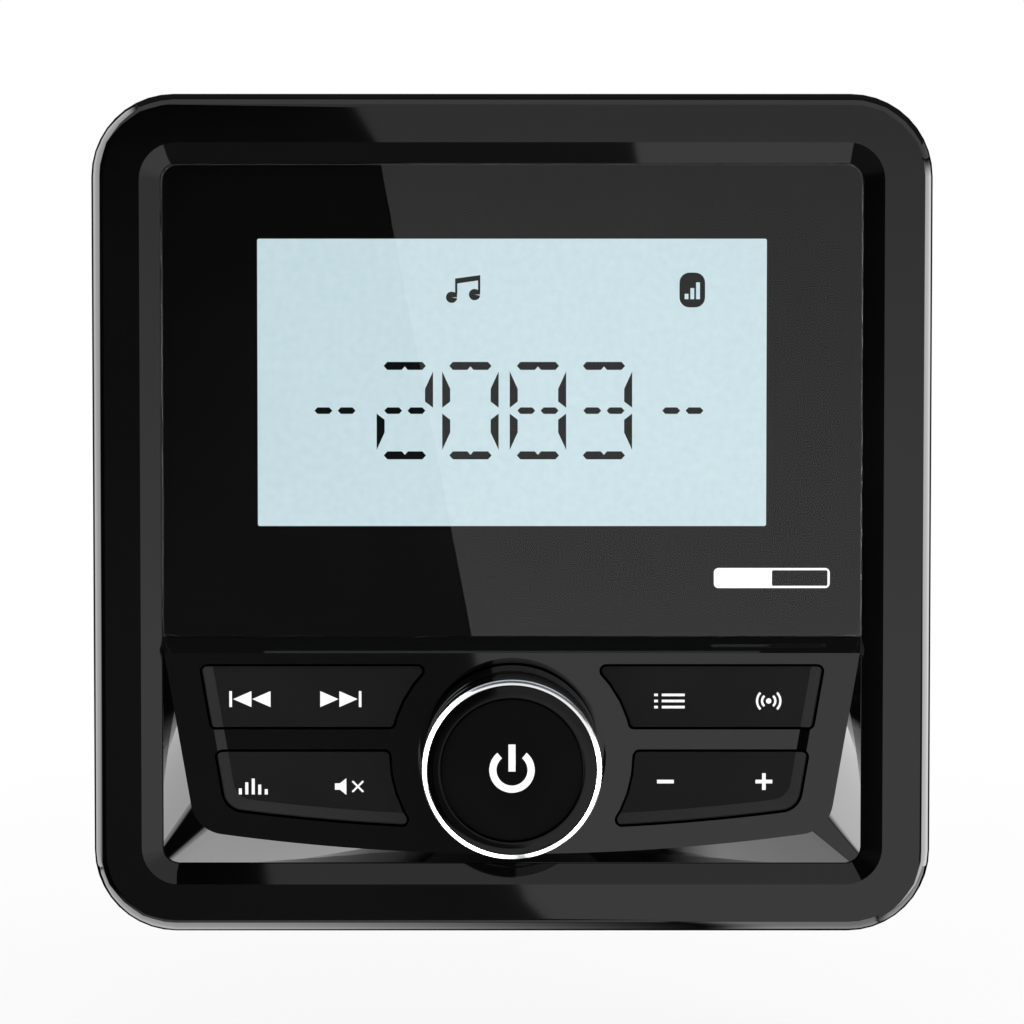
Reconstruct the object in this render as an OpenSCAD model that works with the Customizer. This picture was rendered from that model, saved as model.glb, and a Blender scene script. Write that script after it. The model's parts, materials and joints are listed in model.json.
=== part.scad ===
// Marine stereo for a round panel cut-out: square face with display, four rocker keys and a knob.
// X runs to the viewer's right, Y runs into the panel and Z runs up.
// The origin is the centre of the cut-out, on the plane where the gasket meets the panel.

/* [Face] */
// Width and height of the square face
face_w = 110; // [106:0.5:116]
// Radius of the outer corners of the face
face_corner_r = 10.8; // [9:0.1:13]
// Rounding of the front edge
edge_r = 1.8; // [0.4:0.1:2.4]
// Depth of the bezel, from its rear edge to the rim
bezel_depth = 20; // [19:0.5:26]
// Width of the flat rim
rim_w = 6.35; // [5.6:0.05:7]
// Width of the bevel between the rim and the recess
bevel_w = 2.7; // [2:0.1:3.2]
// Depth of the recess below the rim
recess_depth = 0.55; // [0.3:0.05:0.9]
// Corner radius of the recess
recess_corner_r = 2.2; // [1.4:0.1:3]
// Width of the ledge that carries the lens and the fascia
ledge_w = 3; // [2.4:0.1:3.4]
// Thickness of that ledge
ledge_t = 2; // [1.6:0.1:2.4]
// Wall of the skirt beside the flange
skirt_t = 2.5; // [2:0.1:3]
// Width of the shoulder that the seal lies on
shoulder_w = 1.5; // [1.2:0.1:2]

/* [Display] */
// Thickness of the lens
lens_t = 2; // [1.5:0.1:2.5]
// Distance from the sides of the recess to the display window
window_side_in = 12.6; // [10.5:0.1:15]
// Distance from the top of the recess to the window
window_top_in = 9.85; // [9:0.05:11]
// Distance from the lower edge of the lens to the window
window_low_in = 14.55; // [13.5:0.05:17]
// Thickness of the printed film behind the lens
mask_t = 0.15; // [0.1:0.05:0.3]
// Margin of the display glass around the window
glass_margin = 3.2; // [2.5:0.1:3.4]
// Thickness of the display glass
glass_t = 2.4; // [2:0.1:3]
// Thickness of the light guide
guide_t = 3; // [2.5:0.1:3.5]
// Wall of the display frame
frame_wall = 2.4; // [1.6:0.1:2.6]
// Floor of the display frame
frame_floor_t = 1; // [0.8:0.1:1.4]
// Height of the space under the display frame
frame_foot_h = 2.4; // [2:0.1:3]
// Thickness of the elastomer contact strip
strip_t = 2; // [1.6:0.1:2.4]
// Number of backlight lamps
led_count = 6; // [4:1:8]

/* [Control fascia] */
// Height of the fascia in the recess
fascia_h = 29.85; // [29:0.05:31]
// Height of the raised panel above the recess floor
island_h = 2.35; // [1.8:0.05:2.8]
// Width of the sloping top edge
island_top_slope = 1.85; // [1.4:0.05:2.2]
// Slope width at the top of the sides
island_side_slope = 0.45; // [0.3:0.05:0.8]
// Slope width below the middle of the bowed lower edge
island_low_slope = 1.55; // [0.5:0.05:2]
// Lean of the panel's sides in degrees
side_lean = 9.8; // [8:0.1:11]
// Radius of the bowed lower edge
bow_r = 280; // [200:1:360]
// Radius of the lower corners of the panel
island_corner_r = 3.4; // [2.4:0.1:4.2]
// Height of the lip behind the lower edge of the lens
lens_lip_h = 3; // [2:0.1:3.5]

/* [Keys] */
// Distance from the panel's sides to the keys
key_side_in = 4.6; // [4:0.1:5.2]
// Distance from the panel's top to the keys
key_top_in = 1.8; // [1.4:0.05:2.6]
// Distance from the panel's lower edge to the keys
key_low_in = 3.55; // [3.3:0.05:4.2]
// Height of the upper keys
upper_key_h = 7.95; // [7.4:0.05:9]
// Height of the fixed bar between the keys
key_bar_h = 3.3; // [2.6:0.05:3.8]
// Width of the rim between the keys and the knob's well
key_rim_w = 3.8; // [3.4:0.1:4.6]
// Gap around each key
key_gap = 0.35; // [0.3:0.05:0.7]
// Thickness of the keys
key_t = 3.5; // [3:0.1:3.8]
// Depth of the hollow in the key faces
dish_depth = 0.5; // [0.3:0.05:0.7]
// Width of the sloping strip along the outer and lower key edges
dish_slope = 1.3; // [0.9:0.1:1.6]
// Width of the flat land outside that strip
key_land = 0.15; // [0.1:0.05:0.3]
// Rounding of the key corners
key_corner_r = 0.6; // [0.4:0.1:0.9]
// Depth of the rocking axis behind the ledge
key_axis_back = 3.5; // [3:0.1:4]
// Radius of the key's hinge pins
key_pin_r = 1; // [0.8:0.05:1.2]
// Distance of the key's pushing studs from the ends of the key
key_stud_in = 1; // [0.8:0.1:2]
// Free travel left between a pushing stud and its rubber dome
key_travel = 0.45; // [0.4:0.05:0.6]

/* [Knob] */
// Height of the knob's axis above the bottom of the recess
knob_rise = 14.45; // [13.5:0.05:15]
// Radius of the knob
knob_r = 11.5; // [10.8:0.1:11.8]
// Height of the knob above the fascia
knob_proud = 16.5; // [10:0.5:20]
// Gap between the knob and the well that it stands in
knob_gap = 0.8; // [0.5:0.1:1.2]
// Wall and floor of that well
well_t = 1.6; // [1.4:0.1:1.8]
// Gap between the knob and the floor of the well
knob_lift = 1.2; // [1:0.1:1.6]
// Height of the bright ring
ring_h = 1.2; // [1:0.1:1.6]
// Width of the bright ring
ring_w = 0.75; // [0.6:0.05:1]
// Radius of the matte front disc
cap_r = 9.1; // [8:0.1:9.6]
// Thickness of the matte front disc
cap_t = 0.9; // [0.7:0.1:1.2]
// Number of grooves around the knob
groove_count = 2; // [1:1:4]
// Depth and half the width of a groove
groove_d = 0.3; // [0.2:0.05:0.4]
// Radius of the encoder shaft
shaft_r = 3; // [2.5:0.1:3.2]
// Radius of the encoder bushing
bushing_r = 3.6; // [3.5:0.1:4]
// Width of the encoder
encoder_w = 12; // [11.5:0.5:13]
// Height of the encoder above its board
encoder_h = 5.5; // [5.2:0.1:6.5]
// Push travel of the knob
push_travel = 0.5; // [0.3:0.1:0.6]

/* [Boards] */
// Thickness of the circuit boards
board_t = 1.6; // [1.2:0.1:2]
// Gap between the front board and the skirt
board_gap = 1; // [0.6:0.1:1.4]
// Height of the front board's screws above its middle
board_screw_z = 22; // [18:0.5:26]
// Thickness of the rubber key mat
mat_t = 1; // [0.8:0.1:1.2]
// Height of the rubber domes
dome_h = 2.4; // [2:0.1:2.8]
// Depth of the main board's front face behind the panel seat
main_board_y = 14; // [10:0.5:15]
// Radius of the main board
main_board_r = 37; // [36.5:0.1:38]

/* [Rear] */
// Thickness of the gasket against the panel
gasket_t = 1.5; // [1:0.1:2]
// Width of the collar that centres the gasket
collar_w = 0.6; // [0.4:0.1:1]
// Radius of the round can behind the panel
can_r = 42; // [41.5:0.1:43]
// Wall of the can
can_t = 2.5; // [2:0.1:3]
// Thickness of the can's spigot inside the back plate
spigot_t = 1.5; // [1.2:0.1:2]
// Depth of the can behind the panel seat
can_depth = 40; // [38:0.5:46]
// Thickness of the flange behind the bezel
flange_t = 3; // [2.8:0.1:3.6]
// Thickness of the seal between the bezel and the flange
seal_t = 0.8; // [0.6:0.1:1]
// Distance of the bezel screws from the edges of the face
bezel_screw_in = 8.7; // [8.4:0.1:9.2]
// Width of the heat sink
sink_w = 46; // [44:1:48]
// Height of the heat sink
sink_h = 30; // [26:1:31]
// Height of the heat sink's lower edge above the middle
sink_z = 3; // [2:0.5:4]
// Thickness of the heat sink's plate
sink_t = 4; // [3:0.5:5]
// Height of the fins
fin_h = 12; // [8:1:16]
// Thickness of the fins
fin_t = 1.6; // [1.2:0.1:2]
// Number of fins
fin_count = 6; // [4:2:6]
// Radius of the clamp studs
stud_r = 2.5; // [2:0.5:3]
// Distance of the clamp studs from the middle
stud_x = 33; // [32:0.5:33.5]
// Length of the clamp studs behind the can
stud_l = 32; // [20:1:45]
// Width of the harness socket
harness_w = 30; // [26:1:32]
// Height of the harness socket
harness_h = 14; // [12:0.5:15]
// Wall of the harness socket
harness_t = 1.6; // [1.2:0.1:2]
// Depth of the harness socket's hollow
harness_depth = 14; // [12:0.5:16]
// Inner radius of the antenna socket
antenna_bore_r = 4.65; // [4.2:0.05:4.8]
// Wall of the antenna socket
antenna_t = 1.5; // [1.2:0.1:1.8]
// Depth of the antenna socket's bore
antenna_depth = 11; // [9:0.5:13]
// How far the sockets stand out of the can
socket_proud = 2; // [1:0.5:5]

/* [Fits] */
// Gap around pieces that drop into a seat
seat_gap = 0.1; // [0.05:0.05:0.2]
// Gap around parts that pass through an opening
pass_gap = 0.3; // [0.2:0.05:0.5]
// Radial clearance of turning pins and shafts
run_gap = 0.05; // [0.03:0.01:0.08]
// Radial clearance of screws and studs in their holes
thread_gap = 0.05; // [0.03:0.01:0.08]

/* [Hidden] */
$fn = 64;
hull_fn = 40;
skin = 0.01;
root = 0.5;

// Depth planes, from the panel seat to the front
half_w = face_w / 2;
y_flange_rear = -gasket_t;
y_flange_front = y_flange_rear - flange_t;
y_shoulder = y_flange_front - seal_t;
y_rim = y_flange_rear - bezel_depth;
y_floor = y_rim + recess_depth;
y_ledge = y_floor + lens_t;
y_web = y_ledge + ledge_t;
y_island = y_floor - island_h;
y_glass = y_ledge + mask_t;
y_guide = y_glass + glass_t;
y_frame_floor = y_guide + guide_t;
y_frame_under = y_frame_floor + frame_floor_t;
y_board = y_frame_under + frame_foot_h;
y_board_rear = y_board + board_t;

// Outlines of the face
rim_in = half_w - rim_w;
recess = rim_in - bevel_w;
opening = recess - ledge_w;
opening_corner_r = recess_corner_r;
socket_half = half_w - skirt_t;
cavity_half = socket_half - shoulder_w;
socket_corner_r = face_corner_r - skirt_t;
cavity_corner_r = socket_corner_r - shoulder_w;
edge_steps = 6;

// Display places
split_z = -recess + fascia_h;
window_w = 2 * (recess - window_side_in);
window_top_z = recess - window_top_in;
window_low_z = split_z + window_low_in;
window_h = window_top_z - window_low_z;
window_z = (window_top_z + window_low_z) / 2;
glass_w = window_w + 2 * glass_margin;
glass_h = window_h + 2 * glass_margin;
glass_top = window_z + glass_h / 2;
glass_low = window_z - glass_h / 2;
mask_half = opening - 2 * seat_gap;
mask_low = split_z + lens_lip_h + seat_gap;
led_size = [3, 1.4, 1.6];
led_slot_h = led_size[2] + 2 * pass_gap;
led_end_in = 7;
led_span = glass_w - 2 * led_end_in;
frame_half = glass_w / 2 + seat_gap + frame_wall;
frame_top = glass_top + seat_gap + frame_wall;
frame_low = glass_low - led_slot_h - frame_wall;
strip_z = glass_top - strip_t;
guide_top = strip_z - strip_t / 2 - 2 * pass_gap;
frame_leg_w = 6;

// Control fascia places
island_top_z = split_z - island_top_slope;
island_low_z = -recess + island_low_slope;
island_half = recess - island_side_slope;
bow_steps = 12;
knob_z = -recess + knob_rise;
well_r = knob_r + knob_gap;
key_arc_r = well_r + key_rim_w;
key_top_z = island_top_z - key_top_in;
upper_key_low_z = key_top_z - upper_key_h;
lower_key_top_z = upper_key_low_z - key_bar_h;
key_low_z = island_low_z + key_low_in;
key_bar_z = (upper_key_low_z + lower_key_top_z) / 2;
key_end_x = island_half - key_side_in - (island_top_z - key_low_z) * tan(side_lean);
key_axis_x = (key_end_x + key_arc_r) / 2;
key_stud_x = (key_end_x - key_arc_r) / 2 - key_stud_in;
dish_corner_r = 2.6;
y_dish = y_island + dish_depth;
y_key_rear = y_island + key_t;
y_key_axis = y_ledge + key_axis_back;
web_w = 4;
web_in = 0.4;
web_back = 1.5;
ear_w = 6;
ear_back = 1.9;
ear_out = 2.4;
pin_grip = 1;
pin_out = pass_gap + pin_grip;
key_stud_r = 1.2;
mid_upper_z = (key_top_z + upper_key_low_z) / 2;
lower_key_low_at_axis = bow(key_axis_x, key_low_z);
mid_lower_z = (lower_key_top_z + lower_key_low_at_axis) / 2;
y_mat = y_board - mat_t;
y_dome = y_mat - dome_h;
y_key_stud = y_dome - key_travel;
dome_r = 3.2;
dome_top_r = 2.3;
dome_hollow_r = 1.8;
dome_roof_t = 1.2;
pill_r = 1.5;
pill_t = 0.5;
mat_edge = 1.5;
key_places = [
    [-key_axis_x, mid_upper_z],
    [-key_axis_x, mid_lower_z],
    [key_axis_x, mid_upper_z],
    [key_axis_x, mid_lower_z]
];
dome_places = [for (place = key_places, side = [-1, 1]) place + [side * key_stud_x, 0]];

// Fascia screws
fascia_screw = [1, 1.9, 1.3];
fascia_screw_bite = 2.5;
lug_r = 2.6;
lug_in = 1.3;
fascia_screw_places = [
    for (side = [-1, 1]) [side * (opening - lug_in), -opening + lug_in],
    for (side = [-1, 1]) [side * (opening - root), key_bar_z]
];

// Knob and encoder places
y_encoder = y_board - encoder_h;
y_well_rear = y_encoder;
y_well_floor = y_well_rear - well_t;
y_knob_rear = y_well_floor - knob_lift;
y_knob_front = y_island - knob_proud;
knob_len = y_knob_rear - y_knob_front;
nut_t = 1.8;
nut_r = 5.6;
bushing_end = 0.8;
bushing_plate_t = 0.8;
y_bushing_front = y_well_floor - nut_t - bushing_end;
rotor_in = 1.9;
rotor_r = encoder_w / 2 - rotor_in;
rotor_t = 1;
rotor_hollow_r = rotor_r + pass_gap;
y_rotor = y_encoder + bushing_plate_t + pass_gap;
y_shaft_rear = y_rotor + rotor_t;
y_plunger = y_shaft_rear + seat_gap;
plunger_t = 0.9;
y_rotor_hollow = y_plunger + plunger_t + push_travel + seat_gap;
shaft_flat = 0.5;
boss_wall = 2;
boss_r = shaft_r + boss_wall;
y_boss = y_bushing_front - push_travel - 2 * pass_gap;
skirt_wall = 2.4;
crown_t = 5;
shaft_tip = 2;
ring_lip = 0.15;
bowl_d = 0.8;
bowl_steps = 5;
ring_seat_r = knob_r - ring_w;
crown_h = knob_len - crown_t;
cap_floor_h = knob_len - bowl_d - cap_t;
groove_band = knob_len - ring_h - (y_knob_rear - y_island);
groove_first = y_knob_rear - y_island;
groove_heights = [for (i = [1:groove_count]) groove_first + groove_band * i / (groove_count + 1)];

// Bezel screws
bezel_screw = [1.5, 2.7, 1.9];
bezel_screw_bite = 8;
bezel_boss_r = 3.3;
bezel_screw_x = half_w - bezel_screw_in;
bezel_screw_places = [for (x = [-1, 1], z = [-1, 1]) [x * bezel_screw_x, z * bezel_screw_x]];
gasket_in = 1.5;

// Front board and its screws
board_half = cavity_half - board_gap;
board_notch = board_half - bezel_screw_x + bezel_boss_r + board_gap;
board_screw = [1.25, 2.3, 1.3];
board_screw_x = (opening + cavity_half) / 2;
board_screw_bite = 5;
board_boss_r = 2.9;
board_screw_places = [for (x = [-1, 1], z = [-1, 1]) [x * board_screw_x, z * board_screw_z]];
chip_w = 12;
chip_t = 1.4;
chip_z = -2;

// Main board, its parts and what stands on it
y_main_rear = main_board_y + board_t;
y_wall = can_depth - can_t;
can_inner_r = can_r - can_t;
main_screw = [1.4, 2.6, 1.8];
main_screw_bite = 7;
post_r = 3;
post_x = 27;
post_z = 15;
post_places = [for (x = [-1, 1], z = [-1, 1]) [x * post_x, z * post_z]];
amplifier_size = [20, 4.4, 13];
amplifier_z = 18;
tuner_size = [19, 8, 13];
tuner_place = [17.5, -5];
capacitor_r = 4.4;
capacitor_l = 14;
capacitor_places = [[-8, -3], [-20, -3], [-17, 25]];
inductor_r = 6;
inductor_bore_r = 2.5;
inductor_t = 6;
inductor_place = [17, 25];
connector_size = [26, 6];
connector_z = 28;
harness_place = [-6, -20];
antenna_place = [19, -24];
antenna_r = antenna_bore_r + antenna_t;
antenna_tip_r = 1.7;
antenna_tip_depth = 8;
y_socket_rear = can_depth + socket_proud;
y_harness_floor = y_socket_rear - harness_depth;
contact_r = 0.5;
contact_l = 6.5;
contact_pitch = 3.2;
contact_row = 4;

// Heat sink and clamp studs
sink_screw = [1.4, 2.6, 1.8];
sink_screw_z = 10;
sink_screw_bite = 6;
sink_boss_r = 3;
sink_boss_l = 7;
fin_pitch = (sink_w - fin_t) / (fin_count - 1);
sink_screw_x = fin_pitch * (fin_count / 2 - 1);
sink_screw_places = [[-sink_screw_x, sink_screw_z], [sink_screw_x, sink_screw_z]];
y_sink_plate = can_depth + sink_t;
stud_step = 0.4;
stud_root_r = stud_r + stud_step;
stud_boss_wall = 2;
stud_boss_r = stud_root_r + stud_boss_wall;
stud_boss_l = 6;
stud_places = [[-stud_x, 0], [stud_x, 0]];

// Height of the bowed lower edge at x, where its lowest point is low
function bow(x, low) = low + bow_r - sqrt(bow_r * bow_r - x * x);

// A flat drawing in X and Z with depth from y_front to y_rear
module slab(y_front, y_rear) {
    translate([0, y_rear, 0])
        rotate([90, 0, 0])
            linear_extrude(y_rear - y_front)
                children();
}

// A round bar along Y at a place in X and Z
module rod(y_front, y_rear, r, place = [0, 0]) {
    translate([place[0], y_rear, place[1]])
        rotate([90, 0, 0])
            cylinder(r = r, h = y_rear - y_front);
}

// A block by its middle in X and Z
module block(y_front, y_rear, w, h, place = [0, 0]) {
    translate([place[0] - w / 2, y_front, place[1] - h / 2])
        cube([w, y_rear - y_front, h]);
}

// A centred square with round corners
module round_square(half, r) {
    square([2 * (half - r), 2 * half], center = true);
    square([2 * half, 2 * (half - r)], center = true);
    for (x = [-1, 1], z = [-1, 1])
        translate([x * (half - r), z * (half - r)])
            circle(r = r);
}

// A rectangle from its corner values in X and Z
module field(x0, z0, x1, z1) {
    translate([x0, z0])
        square([x1 - x0, z1 - z0]);
}

// A screw whose head lies behind its seat and whose shank points to the front
module screw_from_rear(screw, y_seat, length, place) {
    difference() {
        union() {
            rod(y_seat - length, y_seat + skin, screw[0], place);
            rod(y_seat, y_seat + screw[2], screw[1], place);
        }
        translate([place[0], y_seat + screw[2] + skin, place[1]])
            rotate([90, 0, 0])
                cylinder(r = screw[1] / 2, h = screw[2] / 2, $fn = 6);
    }
}

// A screw whose head lies in front of its seat and whose shank points to the rear
module screw_from_front(screw, y_seat, length, place) {
    difference() {
        union() {
            rod(y_seat - skin, y_seat + length, screw[0], place);
            rod(y_seat - screw[2], y_seat, screw[1], place);
        }
        translate([place[0], y_seat - screw[2] / 2, place[1]])
            rotate([90, 0, 0])
                cylinder(r = screw[1] / 2, h = screw[2] / 2 + skin, $fn = 6);
    }
}

// The control panel's outline: leaning sides, bowed lower edge, round lower corners, straight top
module control_outline(side_in, top_z, low_z, corner_r) {
    reach = fascia_h;
    lean = tan(side_lean);
    x_top = island_half - side_in + reach * lean;
    x_low = island_half - side_in - (reach + fascia_h) * lean;
    z_low = island_top_z - reach - fascia_h;
    intersection() {
        offset(r = corner_r, $fn = hull_fn)
            offset(delta = -corner_r)
                intersection() {
                    polygon([
                        [-x_top, island_top_z + reach],
                        [x_top, island_top_z + reach],
                        [x_low, z_low],
                        [-x_low, z_low]
                    ]);
                    polygon([
                        for (i = [-bow_steps:bow_steps])
                            let (x = half_w * i / bow_steps)
                            [x, bow(x, low_z)],
                        [half_w, half_w],
                        [-half_w, half_w]
                    ]);
                }
        field(-half_w, -half_w, half_w, top_z);
    }
}

// Outline of one key; side is -1 on the left and 1 on the right
module key_outline(side, z_top, z_bottom) {
    offset(r = key_corner_r, $fn = hull_fn)
        offset(delta = -key_corner_r)
            difference() {
                intersection() {
                    control_outline(key_side_in, key_top_z, key_low_z, dish_corner_r);
                    field(min(0, side * half_w), z_bottom, max(0, side * half_w), z_top);
                }
                translate([0, knob_z])
                    circle(r = key_arc_r);
            }
}

module upper_key_outline(side) {
    key_outline(side, key_top_z, upper_key_low_z);
}

module lower_key_outline(side) {
    key_outline(side, lower_key_top_z, -half_w);
}

// The shallow hollow over the keys and the bar between them, with slopes at its sides and lower edge
module dish(top_z) {
    side_in = key_side_in + key_land;
    low_z = key_low_z + key_land;
    hull() {
        slab(y_island - skin, y_island)
            control_outline(side_in, top_z, low_z, dish_corner_r);
        slab(y_dish - skin, y_dish)
            control_outline(side_in + dish_slope, top_z, low_z + dish_slope, dish_corner_r);
    }
}

// A rocker key with its web, hinge pins and pushing studs
module key(side, mid_z, z_top, z_bottom) {
    axis_x = side * key_axis_x;
    web_top = z_top - web_in;
    web_low = z_bottom + web_in;
    difference() {
        slab(y_island, y_key_rear)
            children();
        dish(key_top_z + root);
    }
    block(y_key_rear - root, y_key_axis + web_back, web_w, web_top - web_low,
        [axis_x, (web_top + web_low) / 2]);
    translate([axis_x, y_key_axis, web_low - pin_out])
        cylinder(r = key_pin_r, h = web_top - web_low + 2 * pin_out);
    for (end = [-1, 1])
        rod(y_key_rear - root, y_key_stud, key_stud_r, [axis_x + end * key_stud_x, mid_z]);
}

// One ear behind the fascia that holds a key's hinge pin
module ear(side, z0, z1) {
    block(y_ledge - root, y_key_axis + ear_back, ear_w, z1 - z0, [side * key_axis_x, (z0 + z1) / 2]);
}

module front_bezel() {
    color("#141416")
        difference() {
            union() {
                difference() {
                    hull() {
                        for (i = [0:edge_steps])
                            let (turn = 90 * i / edge_steps, grow = edge_r * (1 - sin(turn)))
                            slab(y_rim + edge_r * (1 - cos(turn)), y_flange_rear)
                                round_square(half_w - grow, face_corner_r - grow, $fn = hull_fn);
                    }
                    hull() {
                        slab(y_rim - skin, y_rim)
                            round_square(rim_in, recess_corner_r + bevel_w, $fn = hull_fn);
                        slab(y_floor - skin, y_floor)
                            round_square(recess, recess_corner_r, $fn = hull_fn);
                    }
                    slab(y_floor - skin, y_ledge)
                        round_square(recess, recess_corner_r);
                    slab(y_ledge - skin, y_web + skin)
                        round_square(opening, opening_corner_r);
                    slab(y_web, y_shoulder + skin)
                        round_square(cavity_half, cavity_corner_r);
                    slab(y_shoulder, y_flange_rear + skin)
                        round_square(socket_half, socket_corner_r);
                }
                for (place = bezel_screw_places)
                    rod(y_web - root, y_flange_front, bezel_boss_r, place);
                for (place = board_screw_places)
                    rod(y_web - root, y_board, board_boss_r, place);
                for (place = fascia_screw_places)
                    rod(y_ledge, y_web, lug_r, place);
            }
            for (place = bezel_screw_places)
                rod(y_flange_front - bezel_screw_bite, y_flange_front + skin, bezel_screw[0] + thread_gap,
                    place);
            for (place = board_screw_places)
                rod(y_board - board_screw_bite, y_board + skin, board_screw[0] + thread_gap, place);
            for (place = fascia_screw_places)
                rod(y_ledge - skin, y_web + skin, fascia_screw[0] + seat_gap, place);
            rod(y_ledge, y_web + skin, well_r + well_t + pass_gap, [0, knob_z]);
        }
}

module display_lens() {
    color([0.05, 0.06, 0.07, 0.6])
        slab(y_floor, y_ledge)
            intersection() {
                round_square(recess - seat_gap, recess_corner_r);
                field(-half_w, split_z + seat_gap, half_w, half_w);
            }
}

module lens_mask() {
    color("#0a0a0b")
        slab(y_ledge, y_glass)
            difference() {
                intersection() {
                    round_square(mask_half, opening_corner_r);
                    field(-half_w, mask_low, half_w, half_w);
                }
                translate([0, window_z])
                    square([window_w, window_h], center = true);
            }
}

module lcd_glass() {
    color("#cfe4ea")
        block(y_glass, y_guide, glass_w, glass_h, [0, window_z]);
}

module lcd_frame() {
    pocket_w = glass_w + 2 * seat_gap;
    pocket_h = glass_h + 2 * seat_gap;
    frame_mid = (frame_top + frame_low) / 2;
    frame_high = frame_top - frame_low;
    color("#d8dad6")
        difference() {
            block(y_glass, y_board, 2 * frame_half, frame_high, [0, frame_mid]);
            block(y_glass - skin, y_frame_floor, pocket_w, pocket_h, [0, window_z]);
            block(y_guide, y_frame_floor, led_span, 2 * led_slot_h, [0, glass_low]);
            block(y_frame_floor - skin, y_board + skin, glass_w, strip_t + 2 * seat_gap, [0, strip_z]);
            block(y_frame_under, y_board + skin, 2 * (frame_half - frame_leg_w), frame_high + 2 * root,
                [0, frame_mid]);
        }
}

module light_guide() {
    color("#eef6f8")
        slab(y_guide, y_frame_floor)
            field(-glass_w / 2, glass_low, glass_w / 2, guide_top);
}

module backlight_leds() {
    pitch = (led_span - 2 * led_size[0]) / (led_count - 1);
    color("#f4f1d8")
        for (i = [0:led_count - 1])
            block(y_frame_floor - led_size[1], y_frame_floor, led_size[0], led_size[2],
                [(i - (led_count - 1) / 2) * pitch, glass_low - pass_gap - led_size[2] / 2]);
}

module contact_strip() {
    color("#e7a9b4")
        block(y_guide, y_board, glass_w - 2 * frame_leg_w, strip_t, [0, strip_z]);
}

module control_fascia() {
    foot_half = recess - seat_gap;
    axis_tops = [key_top_z - web_in + pass_gap, lower_key_top_z - web_in + pass_gap];
    axis_lows = [upper_key_low_z + web_in - pass_gap, lower_key_low_at_axis + web_in - pass_gap];
    color("#17171a")
        difference() {
            union() {
                difference() {
                    hull() {
                        slab(y_floor, y_ledge)
                            intersection() {
                                round_square(foot_half, recess_corner_r, $fn = hull_fn);
                                field(-half_w, -half_w, half_w, split_z);
                            }
                        slab(y_island, y_island + skin)
                            control_outline(0, island_top_z, island_low_z, island_corner_r);
                    }
                    difference() {
                        dish(key_top_z);
                        rod(y_island - root, y_dish + root, key_arc_r, [0, knob_z]);
                    }
                    for (side = [-1, 1])
                        slab(y_island - skin, y_ledge + skin) {
                            offset(delta = key_gap)
                                upper_key_outline(side);
                            offset(delta = key_gap)
                                lower_key_outline(side);
                        }
                }
                slab(y_ledge - root, y_web)
                    field(-mask_half, split_z - lens_lip_h / 2, mask_half, split_z);
                slab(y_ledge, y_web)
                    field(-mask_half, split_z - lens_lip_h / 2, mask_half, split_z + lens_lip_h);
                rod(y_ledge - root, y_well_rear, well_r + well_t, [0, knob_z]);
                for (side = [-1, 1]) {
                    ear(side, axis_tops[0], axis_tops[0] + ear_out);
                    ear(side, axis_tops[1], axis_lows[0]);
                    ear(side, axis_lows[1] - ear_out, axis_lows[1]);
                }
            }
            rod(y_island - skin, y_well_floor, well_r, [0, knob_z]);
            rod(y_well_floor - skin, y_well_rear + skin, bushing_r + seat_gap, [0, knob_z]);
            for (side = [-1, 1])
                translate([side * key_axis_x, y_key_axis, -half_w])
                    cylinder(r = key_pin_r + run_gap, h = half_w);
            for (place = fascia_screw_places)
                rod(y_ledge - fascia_screw_bite, y_ledge + skin, fascia_screw[0] + thread_gap, place);
        }
}

module upper_left_key() {
    color("#1d1d20")
        key(-1, mid_upper_z, key_top_z, upper_key_low_z)
            upper_key_outline(-1);
}

module lower_left_key() {
    color("#1d1d20")
        key(-1, mid_lower_z, lower_key_top_z, lower_key_low_at_axis)
            lower_key_outline(-1);
}

module upper_right_key() {
    color("#1d1d20")
        key(1, mid_upper_z, key_top_z, upper_key_low_z)
            upper_key_outline(1);
}

module lower_right_key() {
    color("#1d1d20")
        key(1, mid_lower_z, lower_key_top_z, lower_key_low_at_axis)
            lower_key_outline(1);
}

module key_membrane() {
    mat_half = key_axis_x + key_stud_x + dome_r + mat_edge;
    mat_low = mid_lower_z - dome_r - mat_edge;
    mat_top = mid_upper_z + dome_r + mat_edge;
    color("#3a3d42")
        difference() {
            union() {
                slab(y_mat, y_board)
                    difference() {
                        field(-mat_half, mat_low, mat_half, mat_top);
                        translate([0, knob_z])
                            square(encoder_w + 4 * pass_gap, center = true);
                    }
                for (place = dome_places)
                    translate([place[0], y_mat, place[1]])
                        rotate([90, 0, 0])
                            cylinder(r1 = dome_r, r2 = dome_top_r, h = dome_h);
            }
            for (place = dome_places)
                rod(y_dome + dome_roof_t, y_board + skin, dome_hollow_r, place);
        }
}

module contact_pills() {
    color("#202020")
        for (place = dome_places)
            rod(y_dome + dome_roof_t, y_dome + dome_roof_t + pill_t, pill_r, place);
}

module front_pcb() {
    color("#1f5c3a")
        slab(y_board, y_board_rear)
            difference() {
                square(2 * board_half, center = true);
                for (x = [-1, 1], z = [-1, 1])
                    translate([x * board_half, z * board_half])
                        square(2 * board_notch, center = true);
                for (place = board_screw_places)
                    translate(place)
                        circle(r = board_screw[0] + seat_gap);
            }
}

module control_ic() {
    color("#2a2a2c")
        block(y_board_rear, y_board_rear + chip_t, chip_w, chip_w, [0, chip_z]);
}

module encoder_body() {
    color("#3b3b3e")
        difference() {
            block(y_encoder + bushing_plate_t, y_board, encoder_w, encoder_w, [0, knob_z]);
            rod(y_encoder, y_rotor_hollow, rotor_hollow_r, [0, knob_z]);
        }
}

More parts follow.
